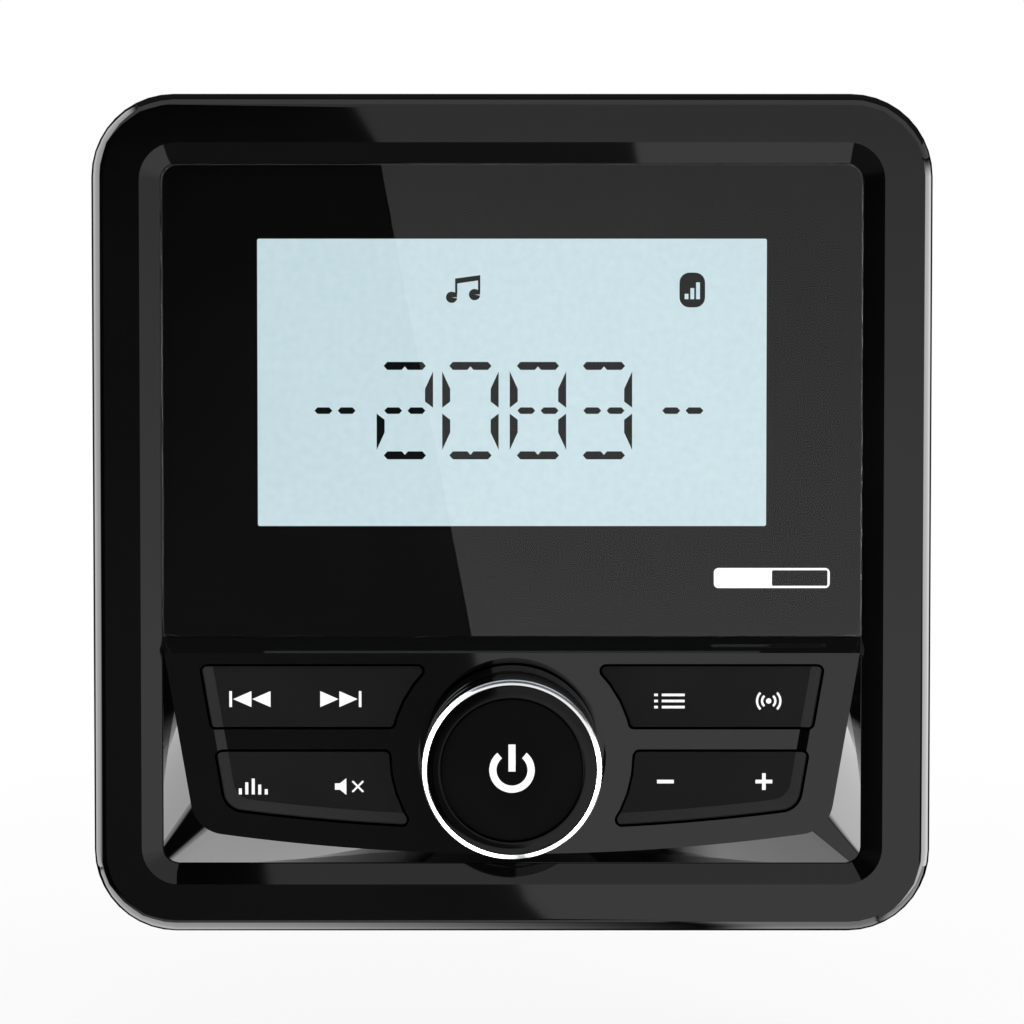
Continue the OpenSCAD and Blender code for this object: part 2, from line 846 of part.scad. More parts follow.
module encoder_bushing() {
    color("#b9bcc0")
        difference() {
            union() {
                block(y_encoder, y_encoder + bushing_plate_t, encoder_w, encoder_w, [0, knob_z]);
                rod(y_bushing_front, y_encoder + skin, bushing_r, [0, knob_z]);
            }
            rod(y_bushing_front - skin, y_encoder + bushing_plate_t + skin, shaft_r + run_gap, [0, knob_z]);
        }
}

module encoder_nut() {
    color("#c9ccd0")
        difference() {
            translate([0, y_well_floor, knob_z])
                rotate([90, 0, 0])
                    cylinder(r = nut_r, h = nut_t, $fn = 6);
            rod(y_well_floor - nut_t - skin, y_well_floor + skin, bushing_r + thread_gap, [0, knob_z]);
        }
}

// The shaft's flattened front end; grow widens it into the matching bore
module flatted_shaft(y_front, y_rear, grow) {
    difference() {
        rod(y_front, y_rear, shaft_r + grow, [0, knob_z]);
        block(y_front - skin, y_rear + skin, 2 * knob_r, 2 * shaft_r,
            [0, knob_z + 2 * shaft_r - shaft_flat + grow]);
    }
}

module encoder_shaft() {
    color("#c3c6ca")
        union() {
            rod(y_rotor, y_shaft_rear, rotor_r, [0, knob_z]);
            rod(y_boss, y_rotor + skin, shaft_r, [0, knob_z]);
            flatted_shaft(y_knob_front + crown_t - shaft_tip, y_boss + skin, 0);
        }
}

module encoder_plunger() {
    color("#e6e6e2")
        rod(y_plunger, y_plunger + plunger_t, rotor_r, [0, knob_z]);
}

// Places a turned profile with its foot at y_rear and its axis on the knob's axis
module turned(y_rear) {
    translate([0, y_rear, knob_z])
        rotate([90, 0, 0])
            rotate_extrude()
                children();
}

module knob_body() {
    boss_h = y_knob_rear - y_boss;
    color("#101012")
        difference() {
            turned(y_knob_rear)
                polygon([
                    [0, boss_h],
                    [boss_r, boss_h],
                    [boss_r, crown_h],
                    [knob_r - skirt_wall, crown_h],
                    [knob_r - skirt_wall, 0],
                    [knob_r, 0],
                    for (h = groove_heights) each [
                        [knob_r, h - groove_d],
                        [knob_r - groove_d, h],
                        [knob_r, h + groove_d]
                    ],
                    [knob_r, knob_len - ring_h],
                    [ring_seat_r, knob_len - ring_h],
                    for (i = [0:bowl_steps])
                        let (turn = 90 * i / bowl_steps)
                        [
                            ring_seat_r - (ring_seat_r - cap_r - seat_gap) * sin(turn),
                            knob_len - ring_lip - (bowl_d - ring_lip) * (1 - cos(turn))
                        ],
                    [cap_r + seat_gap, cap_floor_h],
                    [0, cap_floor_h]
                ]);
            flatted_shaft(y_knob_front + crown_t - shaft_tip - seat_gap, y_boss + root, thread_gap);
        }
}

module knob_ring() {
    ring_round = ring_w / 2;
    color("#d5d7da")
        turned(y_knob_rear - (knob_len - ring_h))
            polygon([
                [ring_seat_r + thread_gap, 0],
                [knob_r, 0],
                for (i = [0:bowl_steps])
                    let (turn = 90 * i / bowl_steps)
                    [knob_r - ring_round * (1 - cos(turn)), ring_h - ring_round * (1 - sin(turn))],
                [ring_seat_r + thread_gap, ring_h]
            ]);
}

module knob_cap() {
    color("#26262a")
        rod(y_knob_rear - cap_floor_h - cap_t, y_knob_rear - cap_floor_h, cap_r, [0, knob_z]);
}

module fascia_screws() {
    color("#b8babd")
        for (place = fascia_screw_places)
            screw_from_rear(fascia_screw, y_web, ledge_t + fascia_screw_bite - seat_gap, place);
}

module board_screws() {
    color("#b8babd")
        for (place = board_screw_places)
            screw_from_rear(board_screw, y_board_rear, board_t + board_screw_bite - seat_gap, place);
}

module bezel_seal() {
    color("#2f3033")
        slab(y_shoulder, y_flange_front)
            difference() {
                round_square(socket_half - seat_gap, socket_corner_r - seat_gap);
                round_square(cavity_half, cavity_corner_r);
            }
}

module back_plate() {
    head_r = bezel_screw[1] + pass_gap;
    color("#1b1b1e")
        difference() {
            union() {
                slab(y_flange_front, y_flange_rear)
                    round_square(socket_half - pass_gap, socket_corner_r - pass_gap);
                rod(y_flange_rear - root, 0, can_r + collar_w);
            }
            rod(y_flange_front - skin, skin, can_inner_r);
            for (place = bezel_screw_places) {
                rod(y_flange_front - skin, y_flange_rear + skin, bezel_screw[0] + seat_gap, place);
                rod(y_flange_rear - bezel_screw[2] - seat_gap, y_flange_rear + skin, head_r, place);
            }
        }
}

module rear_can() {
    color("#1b1b1e")
        difference() {
            union() {
                difference() {
                    union() {
                        rod(0, can_depth, can_r);
                        rod(y_flange_front, root, can_inner_r - seat_gap);
                    }
                    rod(root, y_wall, can_inner_r);
                    rod(y_flange_front - skin, 2 * root, can_inner_r - spigot_t);
                }
                for (place = post_places)
                    rod(y_main_rear, y_wall + root, post_r, place);
                for (place = stud_places)
                    rod(y_wall - stud_boss_l, y_wall + root, stud_boss_r, place);
                for (place = sink_screw_places)
                    rod(y_wall - sink_boss_l, y_wall + root, sink_boss_r, place);
            }
            for (place = post_places)
                rod(y_main_rear - skin, y_main_rear + main_screw_bite, main_screw[0] + thread_gap, place);
            for (place = stud_places)
                rod(y_wall - stud_boss_l - skin, can_depth + skin, stud_root_r + thread_gap, place);
            for (place = sink_screw_places)
                rod(can_depth - sink_screw_bite, can_depth + skin, sink_screw[0] + thread_gap, place);
            block(y_wall - skin, can_depth + skin, amplifier_size[0] + 2 * pass_gap,
                amplifier_size[2] + 2 * pass_gap, [0, amplifier_z]);
            block(y_wall - skin, can_depth + skin, harness_w + 2 * pass_gap, harness_h + 2 * pass_gap,
                harness_place);
            rod(y_wall - skin, can_depth + skin, antenna_r + pass_gap, antenna_place);
        }
}

module bezel_screws() {
    y_seat = y_flange_rear - bezel_screw[2] - seat_gap;
    length = y_seat - y_flange_front + bezel_screw_bite - seat_gap;
    color("#b8babd")
        for (place = bezel_screw_places)
            screw_from_rear(bezel_screw, y_seat, length, place);
}

module panel_gasket() {
    color("#232427")
        slab(y_flange_rear, 0)
            difference() {
                round_square(half_w - gasket_in, face_corner_r - gasket_in);
                circle(r = can_r + collar_w + pass_gap);
            }
}

module main_pcb() {
    color("#1f5c3a")
        difference() {
            rod(main_board_y, y_main_rear, main_board_r);
            for (place = post_places)
                rod(main_board_y - skin, y_main_rear + skin, main_screw[0] + seat_gap, place);
        }
}

module main_board_screws() {
    color("#b8babd")
        for (place = post_places)
            screw_from_front(main_screw, main_board_y, board_t + main_screw_bite - seat_gap, place);
}

module board_connector() {
    color("#e3dccb")
        block(y_board_rear, main_board_y, connector_size[0], connector_size[1], [0, connector_z]);
}

module amplifier_ic() {
    color("#2a2a2c")
        block(y_main_rear, y_main_rear + amplifier_size[1], amplifier_size[0], amplifier_size[2],
            [0, amplifier_z]);
}

module tuner_module() {
    color("#c2c4c6")
        block(y_main_rear, y_main_rear + tuner_size[1], tuner_size[0], tuner_size[2], tuner_place);
}

module capacitors() {
    color("#27384f")
        for (place = capacitor_places)
            rod(y_main_rear, y_main_rear + capacitor_l, capacitor_r, place);
}

module inductor() {
    color("#9a5a2a")
        difference() {
            rod(y_main_rear, y_main_rear + inductor_t, inductor_r, inductor_place);
            rod(y_main_rear - skin, y_main_rear + inductor_t + skin, inductor_bore_r, inductor_place);
        }
}

module heat_sink() {
    mid_z = sink_z + sink_h / 2;
    color("#8d9196")
        difference() {
            union() {
                block(can_depth, y_sink_plate, sink_w, sink_h, [0, mid_z]);
                block(y_main_rear + amplifier_size[1], can_depth + root, amplifier_size[0], amplifier_size[2],
                    [0, amplifier_z]);
                for (i = [0:fin_count - 1])
                    block(y_sink_plate - root, y_sink_plate + fin_h, fin_t, sink_h,
                        [(i - (fin_count - 1) / 2) * fin_pitch, mid_z]);
            }
            for (place = sink_screw_places)
                rod(can_depth - skin, y_sink_plate + skin, sink_screw[0] + seat_gap, place);
        }
}

module heat_sink_screws() {
    color("#b8babd")
        for (place = sink_screw_places)
            screw_from_rear(sink_screw, y_sink_plate, sink_t + sink_screw_bite - seat_gap, place);
}

module harness_socket() {
    color("#e9e7df")
        difference() {
            block(y_main_rear, y_socket_rear, harness_w, harness_h, harness_place);
            block(y_harness_floor, y_socket_rear + skin, harness_w - 2 * harness_t, harness_h - 2 * harness_t,
                harness_place);
        }
}

module harness_contacts() {
    columns = floor((harness_w - 2 * harness_t) / contact_pitch);
    color("#c9a75a")
        for (i = [0:columns - 1], row = [-1, 1])
            rod(y_harness_floor, y_harness_floor + contact_l, contact_r,
                harness_place + [(i - (columns - 1) / 2) * contact_pitch, row * contact_row / 2]);
}

module antenna_socket() {
    y_bore = y_socket_rear - antenna_depth;
    color("#cfd1d3")
        difference() {
            rod(y_main_rear, y_socket_rear, antenna_r, antenna_place);
            rod(y_bore, y_socket_rear + skin, antenna_bore_r, antenna_place);
            rod(y_bore - antenna_tip_depth, y_bore + skin, antenna_tip_r, antenna_place);
        }
}

module clamp_studs() {
    color("#c6c8cb")
        for (place = stud_places) {
            rod(y_wall - stud_boss_l, can_depth, stud_root_r, place);
            rod(can_depth - root, can_depth + stud_l, stud_r, place);
        }
}

front_bezel();
display_lens();
lens_mask();
lcd_glass();
lcd_frame();
light_guide();
backlight_leds();
contact_strip();
control_fascia();
upper_left_key();
lower_left_key();
upper_right_key();
lower_right_key();
key_membrane();
contact_pills();
front_pcb();
control_ic();
encoder_body();
encoder_bushing();
encoder_nut();
encoder_shaft();
encoder_plunger();
knob_body();
knob_ring();
knob_cap();
fascia_screws();
board_screws();
bezel_seal();
back_plate();
rear_can();
bezel_screws();
panel_gasket();
main_pcb();
main_board_screws();
board_connector();
amplifier_ic();
tuner_module();
capacitors();
inductor();
heat_sink();
heat_sink_screws();
harness_socket();
harness_contacts();
antenna_socket();
clamp_studs();
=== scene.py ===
# %% [markdown]
# # A marine stereo for a boat's dashboard
# The CAD model of this stereo is already an assembly: every solid has its name, its place and the body that
# it moves with. In this lesson Blender gives it its looks. Solids whose shape is right stay and get a
# finish. What needs finer curves, such as the knob, is modelled again here and takes the place of its
# solid.

# %% Load the CAD solids
import json
import math

import bpy
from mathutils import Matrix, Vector

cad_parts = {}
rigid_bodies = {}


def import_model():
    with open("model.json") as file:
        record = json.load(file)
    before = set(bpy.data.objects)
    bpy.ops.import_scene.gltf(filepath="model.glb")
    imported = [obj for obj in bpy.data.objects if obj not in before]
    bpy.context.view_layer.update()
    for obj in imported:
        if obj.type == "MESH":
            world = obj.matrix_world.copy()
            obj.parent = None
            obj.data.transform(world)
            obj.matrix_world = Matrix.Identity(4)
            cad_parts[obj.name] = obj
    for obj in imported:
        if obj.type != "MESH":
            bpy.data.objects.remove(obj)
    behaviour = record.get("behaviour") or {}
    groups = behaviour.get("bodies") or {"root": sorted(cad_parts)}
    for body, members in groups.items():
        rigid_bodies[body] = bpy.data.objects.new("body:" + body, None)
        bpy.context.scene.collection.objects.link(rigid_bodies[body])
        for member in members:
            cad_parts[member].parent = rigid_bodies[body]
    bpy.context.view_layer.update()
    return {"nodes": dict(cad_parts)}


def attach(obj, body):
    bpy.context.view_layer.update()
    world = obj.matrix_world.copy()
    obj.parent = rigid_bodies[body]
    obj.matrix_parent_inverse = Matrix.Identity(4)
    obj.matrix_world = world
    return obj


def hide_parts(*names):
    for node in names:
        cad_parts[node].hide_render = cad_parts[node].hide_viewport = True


MM = 0.001
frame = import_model()
nodes = frame["nodes"]
print("solids loaded:", len(nodes))

# %% [markdown]
# ## The camera
# The photograph was taken from a little above the middle of the face, and from far enough away that the
# sides hardly show. A camera 600 mm from the face with a long lens gives the same view. The lens follows
# from the distance and from the width that the picture takes in at the face.

# %% Place the camera
face_point = Vector((0, -21.5, 0.4)) * MM
camera_point = Vector((0, -620.5, 34.9)) * MM
picture_width = 134 * MM
camera_data = bpy.data.cameras.new("Camera")
camera_data.sensor_width = 36
camera_data.lens = camera_data.sensor_width * (face_point - camera_point).length / picture_width
camera = bpy.data.objects.new("Camera", camera_data)
bpy.context.scene.collection.objects.link(camera)
camera.location = camera_point
camera.rotation_euler = (face_point - camera_point).to_track_quat("-Z", "Y").to_euler()
bpy.context.scene.camera = camera
bpy.context.scene.view_settings.view_transform = "Standard"
print("lens in mm:", round(camera_data.lens, 1))

# %% [markdown]
# ## The room that the plastic mirrors
# Glossy black plastic has almost no colour of its own: what the eye reads is the room in it. So the room is
# white all round, as in a light tent. Lamps would light a white room too, but then the whole object would
# get brighter. Light Path tells the world which ray asks: the camera, mirrors and clear parts see pure white,
# and everything matte gets a plain, lower level of light.

# %% Short ways to add nodes


def maths(tree, operation, *values):
    """Adds a Math node from sockets and numbers, kept between 0 and 1, and gives its output."""
    made = tree.nodes.new("ShaderNodeMath")
    made.operation = operation
    made.use_clamp = True
    for value, socket in zip(values, made.inputs):
        if isinstance(value, float):
            socket.default_value = value
        else:
            tree.links.new(value, socket)
    return made.outputs["Value"]


def ranged(tree, value, from_min, from_max, to_min, to_max, kind="LINEAR"):
    """Adds a Map Range node and gives its output."""
    made = tree.nodes.new("ShaderNodeMapRange")
    made.interpolation_type = kind
    limits = {"From Min": from_min, "From Max": from_max, "To Min": to_min, "To Max": to_max}
    for socket, limit in limits.items():
        made.inputs[socket].default_value = limit
    tree.links.new(value, made.inputs["Value"])
    return made.outputs["Result"]


def ramp(tree, value, colours, places=(0, 1)):
    """Adds a Color Ramp between two colours and gives its output."""
    made = tree.nodes.new("ShaderNodeValToRGB")
    for stop, place, colour in zip(made.color_ramp.elements, places, colours):
        stop.position = place
        stop.color = (*colour, 1)
    tree.links.new(value, made.inputs["Fac"])
    return made.outputs["Color"]


def seen_or_mirrored(tree):
    """Gives a socket that is 1 for rays of the camera, of mirrors and of clear parts, and 0 for the rest."""
    path = tree.nodes.new("ShaderNodeLightPath").outputs
    seen = maths(tree, "ADD", path["Is Camera Ray"], path["Is Glossy Ray"])
    return maths(tree, "ADD", seen, path["Is Transmission Ray"])


# %% White world and pale floor
AMBIENT = 0.55
FLOOR_Z = -75 * MM
FLOOR_SIZE = 8
PAPER_TONES = ((0.86, 0.86, 0.86), (0.92, 0.92, 0.92))
FIBRE_SCALE = 300
SHADOW_NEAR, SHADOW_FAR = 0.1, 0.4
SHADOW_GLOW = 0.9

world = bpy.data.worlds.new("white_room")
bpy.context.scene.world = world
world.use_nodes = True
sky = world.node_tree
sky.nodes.clear()
soft_light = sky.nodes.new("ShaderNodeBackground")
soft_light.inputs["Color"].default_value = (1, 1, 1, 1)
soft_light.inputs["Strength"].default_value = AMBIENT
white = sky.nodes.new("ShaderNodeBackground")
white.inputs["Color"].default_value = (1, 1, 1, 1)
white.inputs["Strength"].default_value = 1
choice = sky.nodes.new("ShaderNodeMixShader")
sky_out = sky.nodes.new("ShaderNodeOutputWorld")
sky.links.new(seen_or_mirrored(sky), choice.inputs["Fac"])
sky.links.new(soft_light.outputs[0], choice.inputs[1])
sky.links.new(white.outputs[0], choice.inputs[2])
sky.links.new(choice.outputs[0], sky_out.inputs["Surface"])

bpy.ops.object.select_all(action="DESELECT")
bpy.ops.mesh.primitive_plane_add(size=FLOOR_SIZE, location=(0, 0, FLOOR_Z))
floor = bpy.context.active_object
floor.name = "floor"
floor.visible_glossy = False
paper = bpy.data.materials.new("floor_paper")
paper.use_nodes = True
tree = paper.node_tree
tree.nodes.clear()
place = tree.nodes.new("ShaderNodeTexCoord")
fibre = tree.nodes.new("ShaderNodeTexNoise")
fibre.inputs["Scale"].default_value = FIBRE_SCALE
tree.links.new(place.outputs["Object"], fibre.inputs["Vector"])
matte = tree.nodes.new("ShaderNodeBsdfDiffuse")
tree.links.new(ramp(tree, fibre.outputs["Fac"], PAPER_TONES), matte.inputs["Color"])
far = tree.nodes.new("ShaderNodeVectorMath")
far.operation = "LENGTH"
tree.links.new(place.outputs["Object"], far.inputs[0])
fade = ranged(tree, far.outputs["Value"], SHADOW_NEAR, SHADOW_FAR, SHADOW_GLOW, 1)
glow = tree.nodes.new("ShaderNodeEmission")
blend = tree.nodes.new("ShaderNodeMixShader")
tree.links.new(maths(tree, "MULTIPLY", seen_or_mirrored(tree), fade), blend.inputs["Fac"])
tree.links.new(matte.outputs[0], blend.inputs[1])
tree.links.new(glow.outputs[0], blend.inputs[2])
paper_out = tree.nodes.new("ShaderNodeOutputMaterial")
tree.links.new(blend.outputs[0], paper_out.inputs["Surface"])
floor.data.materials.append(paper)
print("floor at", FLOOR_Z)

# %% [markdown]
# ## Cards around the object
# A product photographer hangs cards round a glossy thing and looks at their mirror images. A black card
# in front, on the left, has a leaning edge: that edge is the line that runs down the face. A pale card beside
# it is a little darker at its top. Dark cards above and behind keep the upper and the steep slopes dark.
# Bright cards at the sides and low down draw the light lines along the edges. The cards work in mirrors only,
# so they add no light to the matte parts.

# %% Hang the cards and one lamp
# A card is 1 high before it is scaled, and its level changes between these heights
LEVEL_FROM, LEVEL_TO = -0.12, 0.07
CARD_EDGE = 0.5
LAMP_SIZE = 1.2
LAMP_WATTS = 14
LAMP_POINT = (0.35, -1.1, 1.2)


def card(name, width, height, middle, turn, low, top, soft=0.0, clear=False):
    """Hangs a card that only mirrors see, from level low to level top.

    Sizes are in millimetres and turns in degrees. A share of the card, soft, fades towards the edges,
    to black or, when clear, to nothing."""
    bpy.ops.object.select_all(action="DESELECT")
    bpy.ops.mesh.primitive_plane_add(
        size=1,
        location=[value * MM for value in middle],
        rotation=[math.radians(angle) for angle in turn],
    )
    sheet = bpy.context.active_object
    sheet.name = name
    sheet.scale = (width * MM, height * MM, 1)
    sheet.visible_camera = False
    sheet.visible_diffuse = False
    sheet.visible_shadow = False
    surface = bpy.data.materials.new(name)
    surface.use_nodes = True
    tree = surface.node_tree
    tree.nodes.clear()
    place = tree.nodes.new("ShaderNodeTexCoord")
    parts = tree.nodes.new("ShaderNodeSeparateXYZ")
    tree.links.new(place.outputs["Object"], parts.inputs[0])
    lit = tree.nodes.new("ShaderNodeEmission")
    level = ranged(tree, parts.outputs["Y"], LEVEL_FROM, LEVEL_TO, low, top)
    tree.links.new(level, lit.inputs["Strength"])
    shown = lit
    if soft:
        covers = []
        for axis in ("X", "Y"):
            away = maths(tree, "ABSOLUTE", parts.outputs[axis])
            covers.append(ranged(tree, away, CARD_EDGE - soft, CARD_EDGE, 1, 0, "SMOOTHSTEP"))
        gone = tree.nodes.new("ShaderNodeBsdfTransparent" if clear else "ShaderNodeEmission")
        if not clear:
            gone.inputs["Strength"].default_value = 0
        shown = tree.nodes.new("ShaderNodeMixShader")
        tree.links.new(maths(tree, "MULTIPLY", *covers), shown.inputs["Fac"])
        tree.links.new(gone.outputs[0], shown.inputs[1])
        tree.links.new(lit.outputs[0], shown.inputs[2])
    card_out = tree.nodes.new("ShaderNodeOutputMaterial")
    tree.links.new(shown.outputs[0], card_out.inputs["Surface"])
    sheet.data.materials.append(surface)
    print("card", name, "from level", low, "to", top)


card("front_black_card", 1620, 1450, (-856, -1521.5, -76.5), (90, -10.8, 0), 0.11, 0)
card("front_left_dark_card", 1500, 1450, (-1120, -1400, 0), (90, 0, 0), 0, 0, 0.04, True)
card("front_pale_card", 2600, 1500, (900, -1600, 0), (90, 0, 0), 1.03, 0.66)
card("upper_black_card", 1550, 826, (425, 187, 560), (0, 0, 0), 0.1, 0.1)
card("left_bright_card", 1300, 2600, (-800, -190, 0), (90, 0, 90), 7.2, 7.2, 0.14)
card("right_bright_card", 1300, 1530, (800, -190, -535), (90, 0, 90), 10.2, 10.2, 0.14)
card("left_rear_black_card", 1200, 2600, (-800, 1060, 0), (90, 0, 90), 0, 0)
card("right_rear_black_card", 1200, 2600, (800, 1060, 0), (90, 0, 90), 0, 0)
card("low_left_bright_card", 800, 480, (-360, -90, -300), (0, 0, 0), 6.7, 6.7, 0.15)
card("low_right_bright_card", 130, 570, (100, -135, -300), (0, 0, 0), 3.4, 3.4, 0.12)
card("low_corner_bright_card", 760, 360, (520, -20, -304), (0, 0, 0), 4, 4, 0.1)
card("low_rear_black_card", 2400, 1400, (0, 850, -300), (0, 0, 0), 0, 0)
card("low_left_black_card", 1020, 404, (-452, -499, -452), (-38, 45, 0), 0, 0, 0.22, True)
card("low_right_black_card", 222, 315, (544, -583, -146), (46, 75, 180), 0, 0, 0.3, True)
card("low_middle_black_card", 150, 257, (215, -573, -532), (45, 22, 180), 0, 0, 0.3, True)

lamp_data = bpy.data.lights.new("soft_lamp", "AREA")
lamp_data.shape = "SQUARE"
lamp_data.size = LAMP_SIZE
lamp_data.energy = LAMP_WATTS
lamp = bpy.data.objects.new("soft_lamp", lamp_data)
bpy.context.scene.collection.objects.link(lamp)
lamp.location = LAMP_POINT
lamp.rotation_euler = (face_point - lamp.location).to_track_quat("-Z", "Y").to_euler()
lamp.visible_glossy = False
print("lamp in watts:", LAMP_WATTS)

# %% [markdown]
# ## Finishes
# Every moulding, sheet and casting here shares one recipe, and only its numbers differ. A wide, cloudy noise
# moves the colour and the roughness a little, as handling and moulding do, and a fine noise makes the grain
# that the mould was etched with. Noise reads Object coordinates, so one unit is a metre and a scale of 6000
# gives grains of a sixth of a millimetre. What is the same all over goes straight on the shader's sockets.
# Seen from the side, a polished front would show the bright cards at full glare, so its gloss fades there.

# %% One recipe for all finishes
CLOUD_RANGE = (0.3, 0.7)
CLOUD_DETAIL = 4
# Layer Weight's Facing is 0 straight on and 1 edge on
CALM_FROM, CALM_TO = 0.42, 0.6


def finish(name, dark, light, rough, cloud=60, stretch=(1, 1, 1), grain=0, depth=0, **sockets):
    """Makes a material: colours and roughness from a cloudy noise, bump from a fine one.

    The roughness runs from one number to another, and depth is the height of the grain in millimetres."""
    surface = bpy.data.materials.new(name)
    surface.use_nodes = True
    tree = surface.node_tree
    shader = tree.nodes["Principled BSDF"]
    place = tree.nodes.new("ShaderNodeTexCoord")
    spread = tree.nodes.new("ShaderNodeMapping")
    spread.inputs["Scale"].default_value = stretch
    tree.links.new(place.outputs["Object"], spread.inputs["Vector"])
    clouds = tree.nodes.new("ShaderNodeTexNoise")
    clouds.inputs["Scale"].default_value = cloud
    clouds.inputs["Detail"].default_value = CLOUD_DETAIL
    tree.links.new(spread.outputs["Vector"], clouds.inputs["Vector"])
    tone = ramp(tree, clouds.outputs["Fac"], (dark, light), CLOUD_RANGE)
    tree.links.new(tone, shader.inputs["Base Color"])
    dullness = ranged(tree, clouds.outputs["Fac"], *CLOUD_RANGE, *rough)
    tree.links.new(dullness, shader.inputs["Roughness"])
    if grain:
        grains = tree.nodes.new("ShaderNodeTexNoise")
        grains.inputs["Scale"].default_value = grain
        tree.links.new(spread.outputs["Vector"], grains.inputs["Vector"])
        bump = tree.nodes.new("ShaderNodeBump")
        bump.inputs["Distance"].default_value = depth * MM
        tree.links.new(grains.outputs["Fac"], bump.inputs["Height"])
        tree.links.new(bump.outputs["Normal"], shader.inputs["Normal"])
    for socket, value in sockets.items():
        shader.inputs[socket.replace("_", " ")].default_value = value
    return surface


def calm(surface, socket, straight, grazing):
    """Takes the glare of the bright cards off a polished surface that is seen at a grazing angle.

    In the mirror image that another piece shows of it, nothing changes."""
    tree = surface.node_tree
    weight = tree.nodes.new("ShaderNodeLayerWeight")
    path = tree.nodes.new("ShaderNodeLightPath")
    direct = maths(tree, "MULTIPLY", weight.outputs["Facing"], path.outputs["Is Camera Ray"])
    gloss = ranged(tree, direct, CALM_FROM, CALM_TO, straight, grazing)
    tree.links.new(gloss, tree.nodes["Principled BSDF"].inputs[socket])


# %% Black plastics of the front
GLOSS_LEVEL, CALM_LEVEL = 0.5, 0.004
SLOPE_FACING, SLOPE_NEAR = -0.934, 0.03
SLOPE_PAINTED_LIGHT = (0.014, 0.014, 0.0145, 1)

gloss_black = finish("gloss_black", (0.0012, 0.0012, 0.0014), (0.0024, 0.0024, 0.0026), (0.015, 0.04), 30)
calm(gloss_black, "Specular IOR Level", GLOSS_LEVEL, CALM_LEVEL)
knob_black = finish(
    "knob_black", (0.0012, 0.0012, 0.0014), (0.002, 0.002, 0.0022), (0.08, 0.12), 60,
    Specular_IOR_Level=0.26,
)
matte_black = finish(
    "matte_black", (0.003, 0.003, 0.0032), (0.004, 0.004, 0.0042), (0.5, 0.58), 90, grain=7000, depth=0.006,
    Specular_IOR_Level=0.11,
)
# Painted light: where the normal faces the slopes round the keys, a fixed colour is added to the base colour,
# so the slopes look more brightly lit than the faces.
tree = matte_black.node_tree
place = tree.nodes.new("ShaderNodeTexCoord")
facing = tree.nodes.new("ShaderNodeSeparateXYZ")
tree.links.new(place.outputs["Normal"], facing.inputs[0])
on_slope = maths(tree, "COMPARE", facing.outputs["Y"], SLOPE_FACING, SLOPE_NEAR)
painted_slope_light = tree.nodes.new("ShaderNodeMix")
painted_slope_light.data_type = "RGBA"
painted_slope_light.blend_type = "ADD"
painted_slope_light.inputs["B"].default_value = SLOPE_PAINTED_LIGHT
tree.links.new(on_slope, painted_slope_light.inputs["Factor"])
tree.links.new(tree.nodes["Color Ramp"].outputs["Color"], painted_slope_light.inputs["A"])
tree.links.new(painted_slope_light.outputs["Result"], tree.nodes["Principled BSDF"].inputs["Base Color"])
print("the slopes round the keys are a little paler than their faces")

cap_black = finish(
    "cap_black", (0.001, 0.001, 0.0012), (0.0018, 0.0018, 0.002), (0.42, 0.5), 80, grain=9000, depth=0.004,
    Specular_IOR_Level=0.05,
)
mask_black = finish("mask_black", (0.0008, 0.0008, 0.001), (0.0016, 0.0016, 0.0018), (0.5, 0.6), 120)
segment_black = finish(
    "segment_black", (0.002, 0.0024, 0.0026), (0.0035, 0.004, 0.0042), (0.5, 0.6), 300,
    Specular_IOR_Level=0,
)
print_black = finish(
    "print_black", (0.0012, 0.0012, 0.0013), (0.002, 0.002, 0.0021), (0.5, 0.6), 120, Specular_IOR_Level=0,
)

# %% Other plastics, resins and rubbers
ACRYLIC_IOR, CALM_IOR = 1.49, 1.02

housing_black = finish(
    "housing_black", (0.010, 0.010, 0.011), (0.016, 0.016, 0.017), (0.45, 0.6), 40, grain=2600, depth=0.03,
)
white_plastic = finish(
    "white_plastic", (0.62, 0.61, 0.58), (0.72, 0.71, 0.68), (0.35, 0.5), 50, grain=3000, depth=0.01,
)
clear_guide = finish(
    "clear_guide", (0.82, 0.9, 0.93), (0.9, 0.96, 0.98), (0.2, 0.35), 40, Transmission_Weight=0.7,
    IOR=ACRYLIC_IOR,
)
lens_clear = finish(
    "lens_clear", (0.96, 0.97, 0.97), (1, 1, 1), (0.0, 0.004), 40, Transmission_Weight=1, IOR=ACRYLIC_IOR,
)
calm(lens_clear, "IOR", ACRYLIC_IOR, CALM_IOR)
# The white print also glows a little. This is painted light, because printed ink is no lamp.
legend_white_painted_glow = finish(
    "legend_white_painted_glow", (0.74, 0.74, 0.74), (0.8, 0.8, 0.8), (0.5, 0.6), 600, Emission_Color=(1, 1, 1, 1),
    Emission_Strength=0.32,
)
lamp_resin = finish("lamp_resin", (0.78, 0.72, 0.42), (0.88, 0.82, 0.55), (0.2, 0.3), 400)
chip_resin = finish(
    "chip_resin", (0.012, 0.012, 0.013), (0.022, 0.022, 0.024), (0.45, 0.6), 200, grain=6000, depth=0.01,
)
board_green = finish(
    "board_green", (0.006, 0.05, 0.022), (0.012, 0.085, 0.04), (0.25, 0.4), 1400, stretch=(1, 1, 0.2),
)
sleeve_blue = finish("sleeve_blue", (0.016, 0.035, 0.075), (0.024, 0.05, 0.1), (0.25, 0.4), 150)
dark_rubber = finish(
    "dark_rubber", (0.012, 0.012, 0.013), (0.024, 0.024, 0.026), (0.7, 0.85), 70, grain=3800, depth=0.04,
)
silicone = finish(
    "silicone", (0.035, 0.036, 0.04), (0.06, 0.062, 0.068), (0.5, 0.65), 80, grain=5000, depth=0.01,
)
strip_rubber = finish("strip_rubber", (0.5, 0.26, 0.3), (0.62, 0.34, 0.38), (0.5, 0.65), 200)
print("finishes so far:", len(bpy.data.materials))

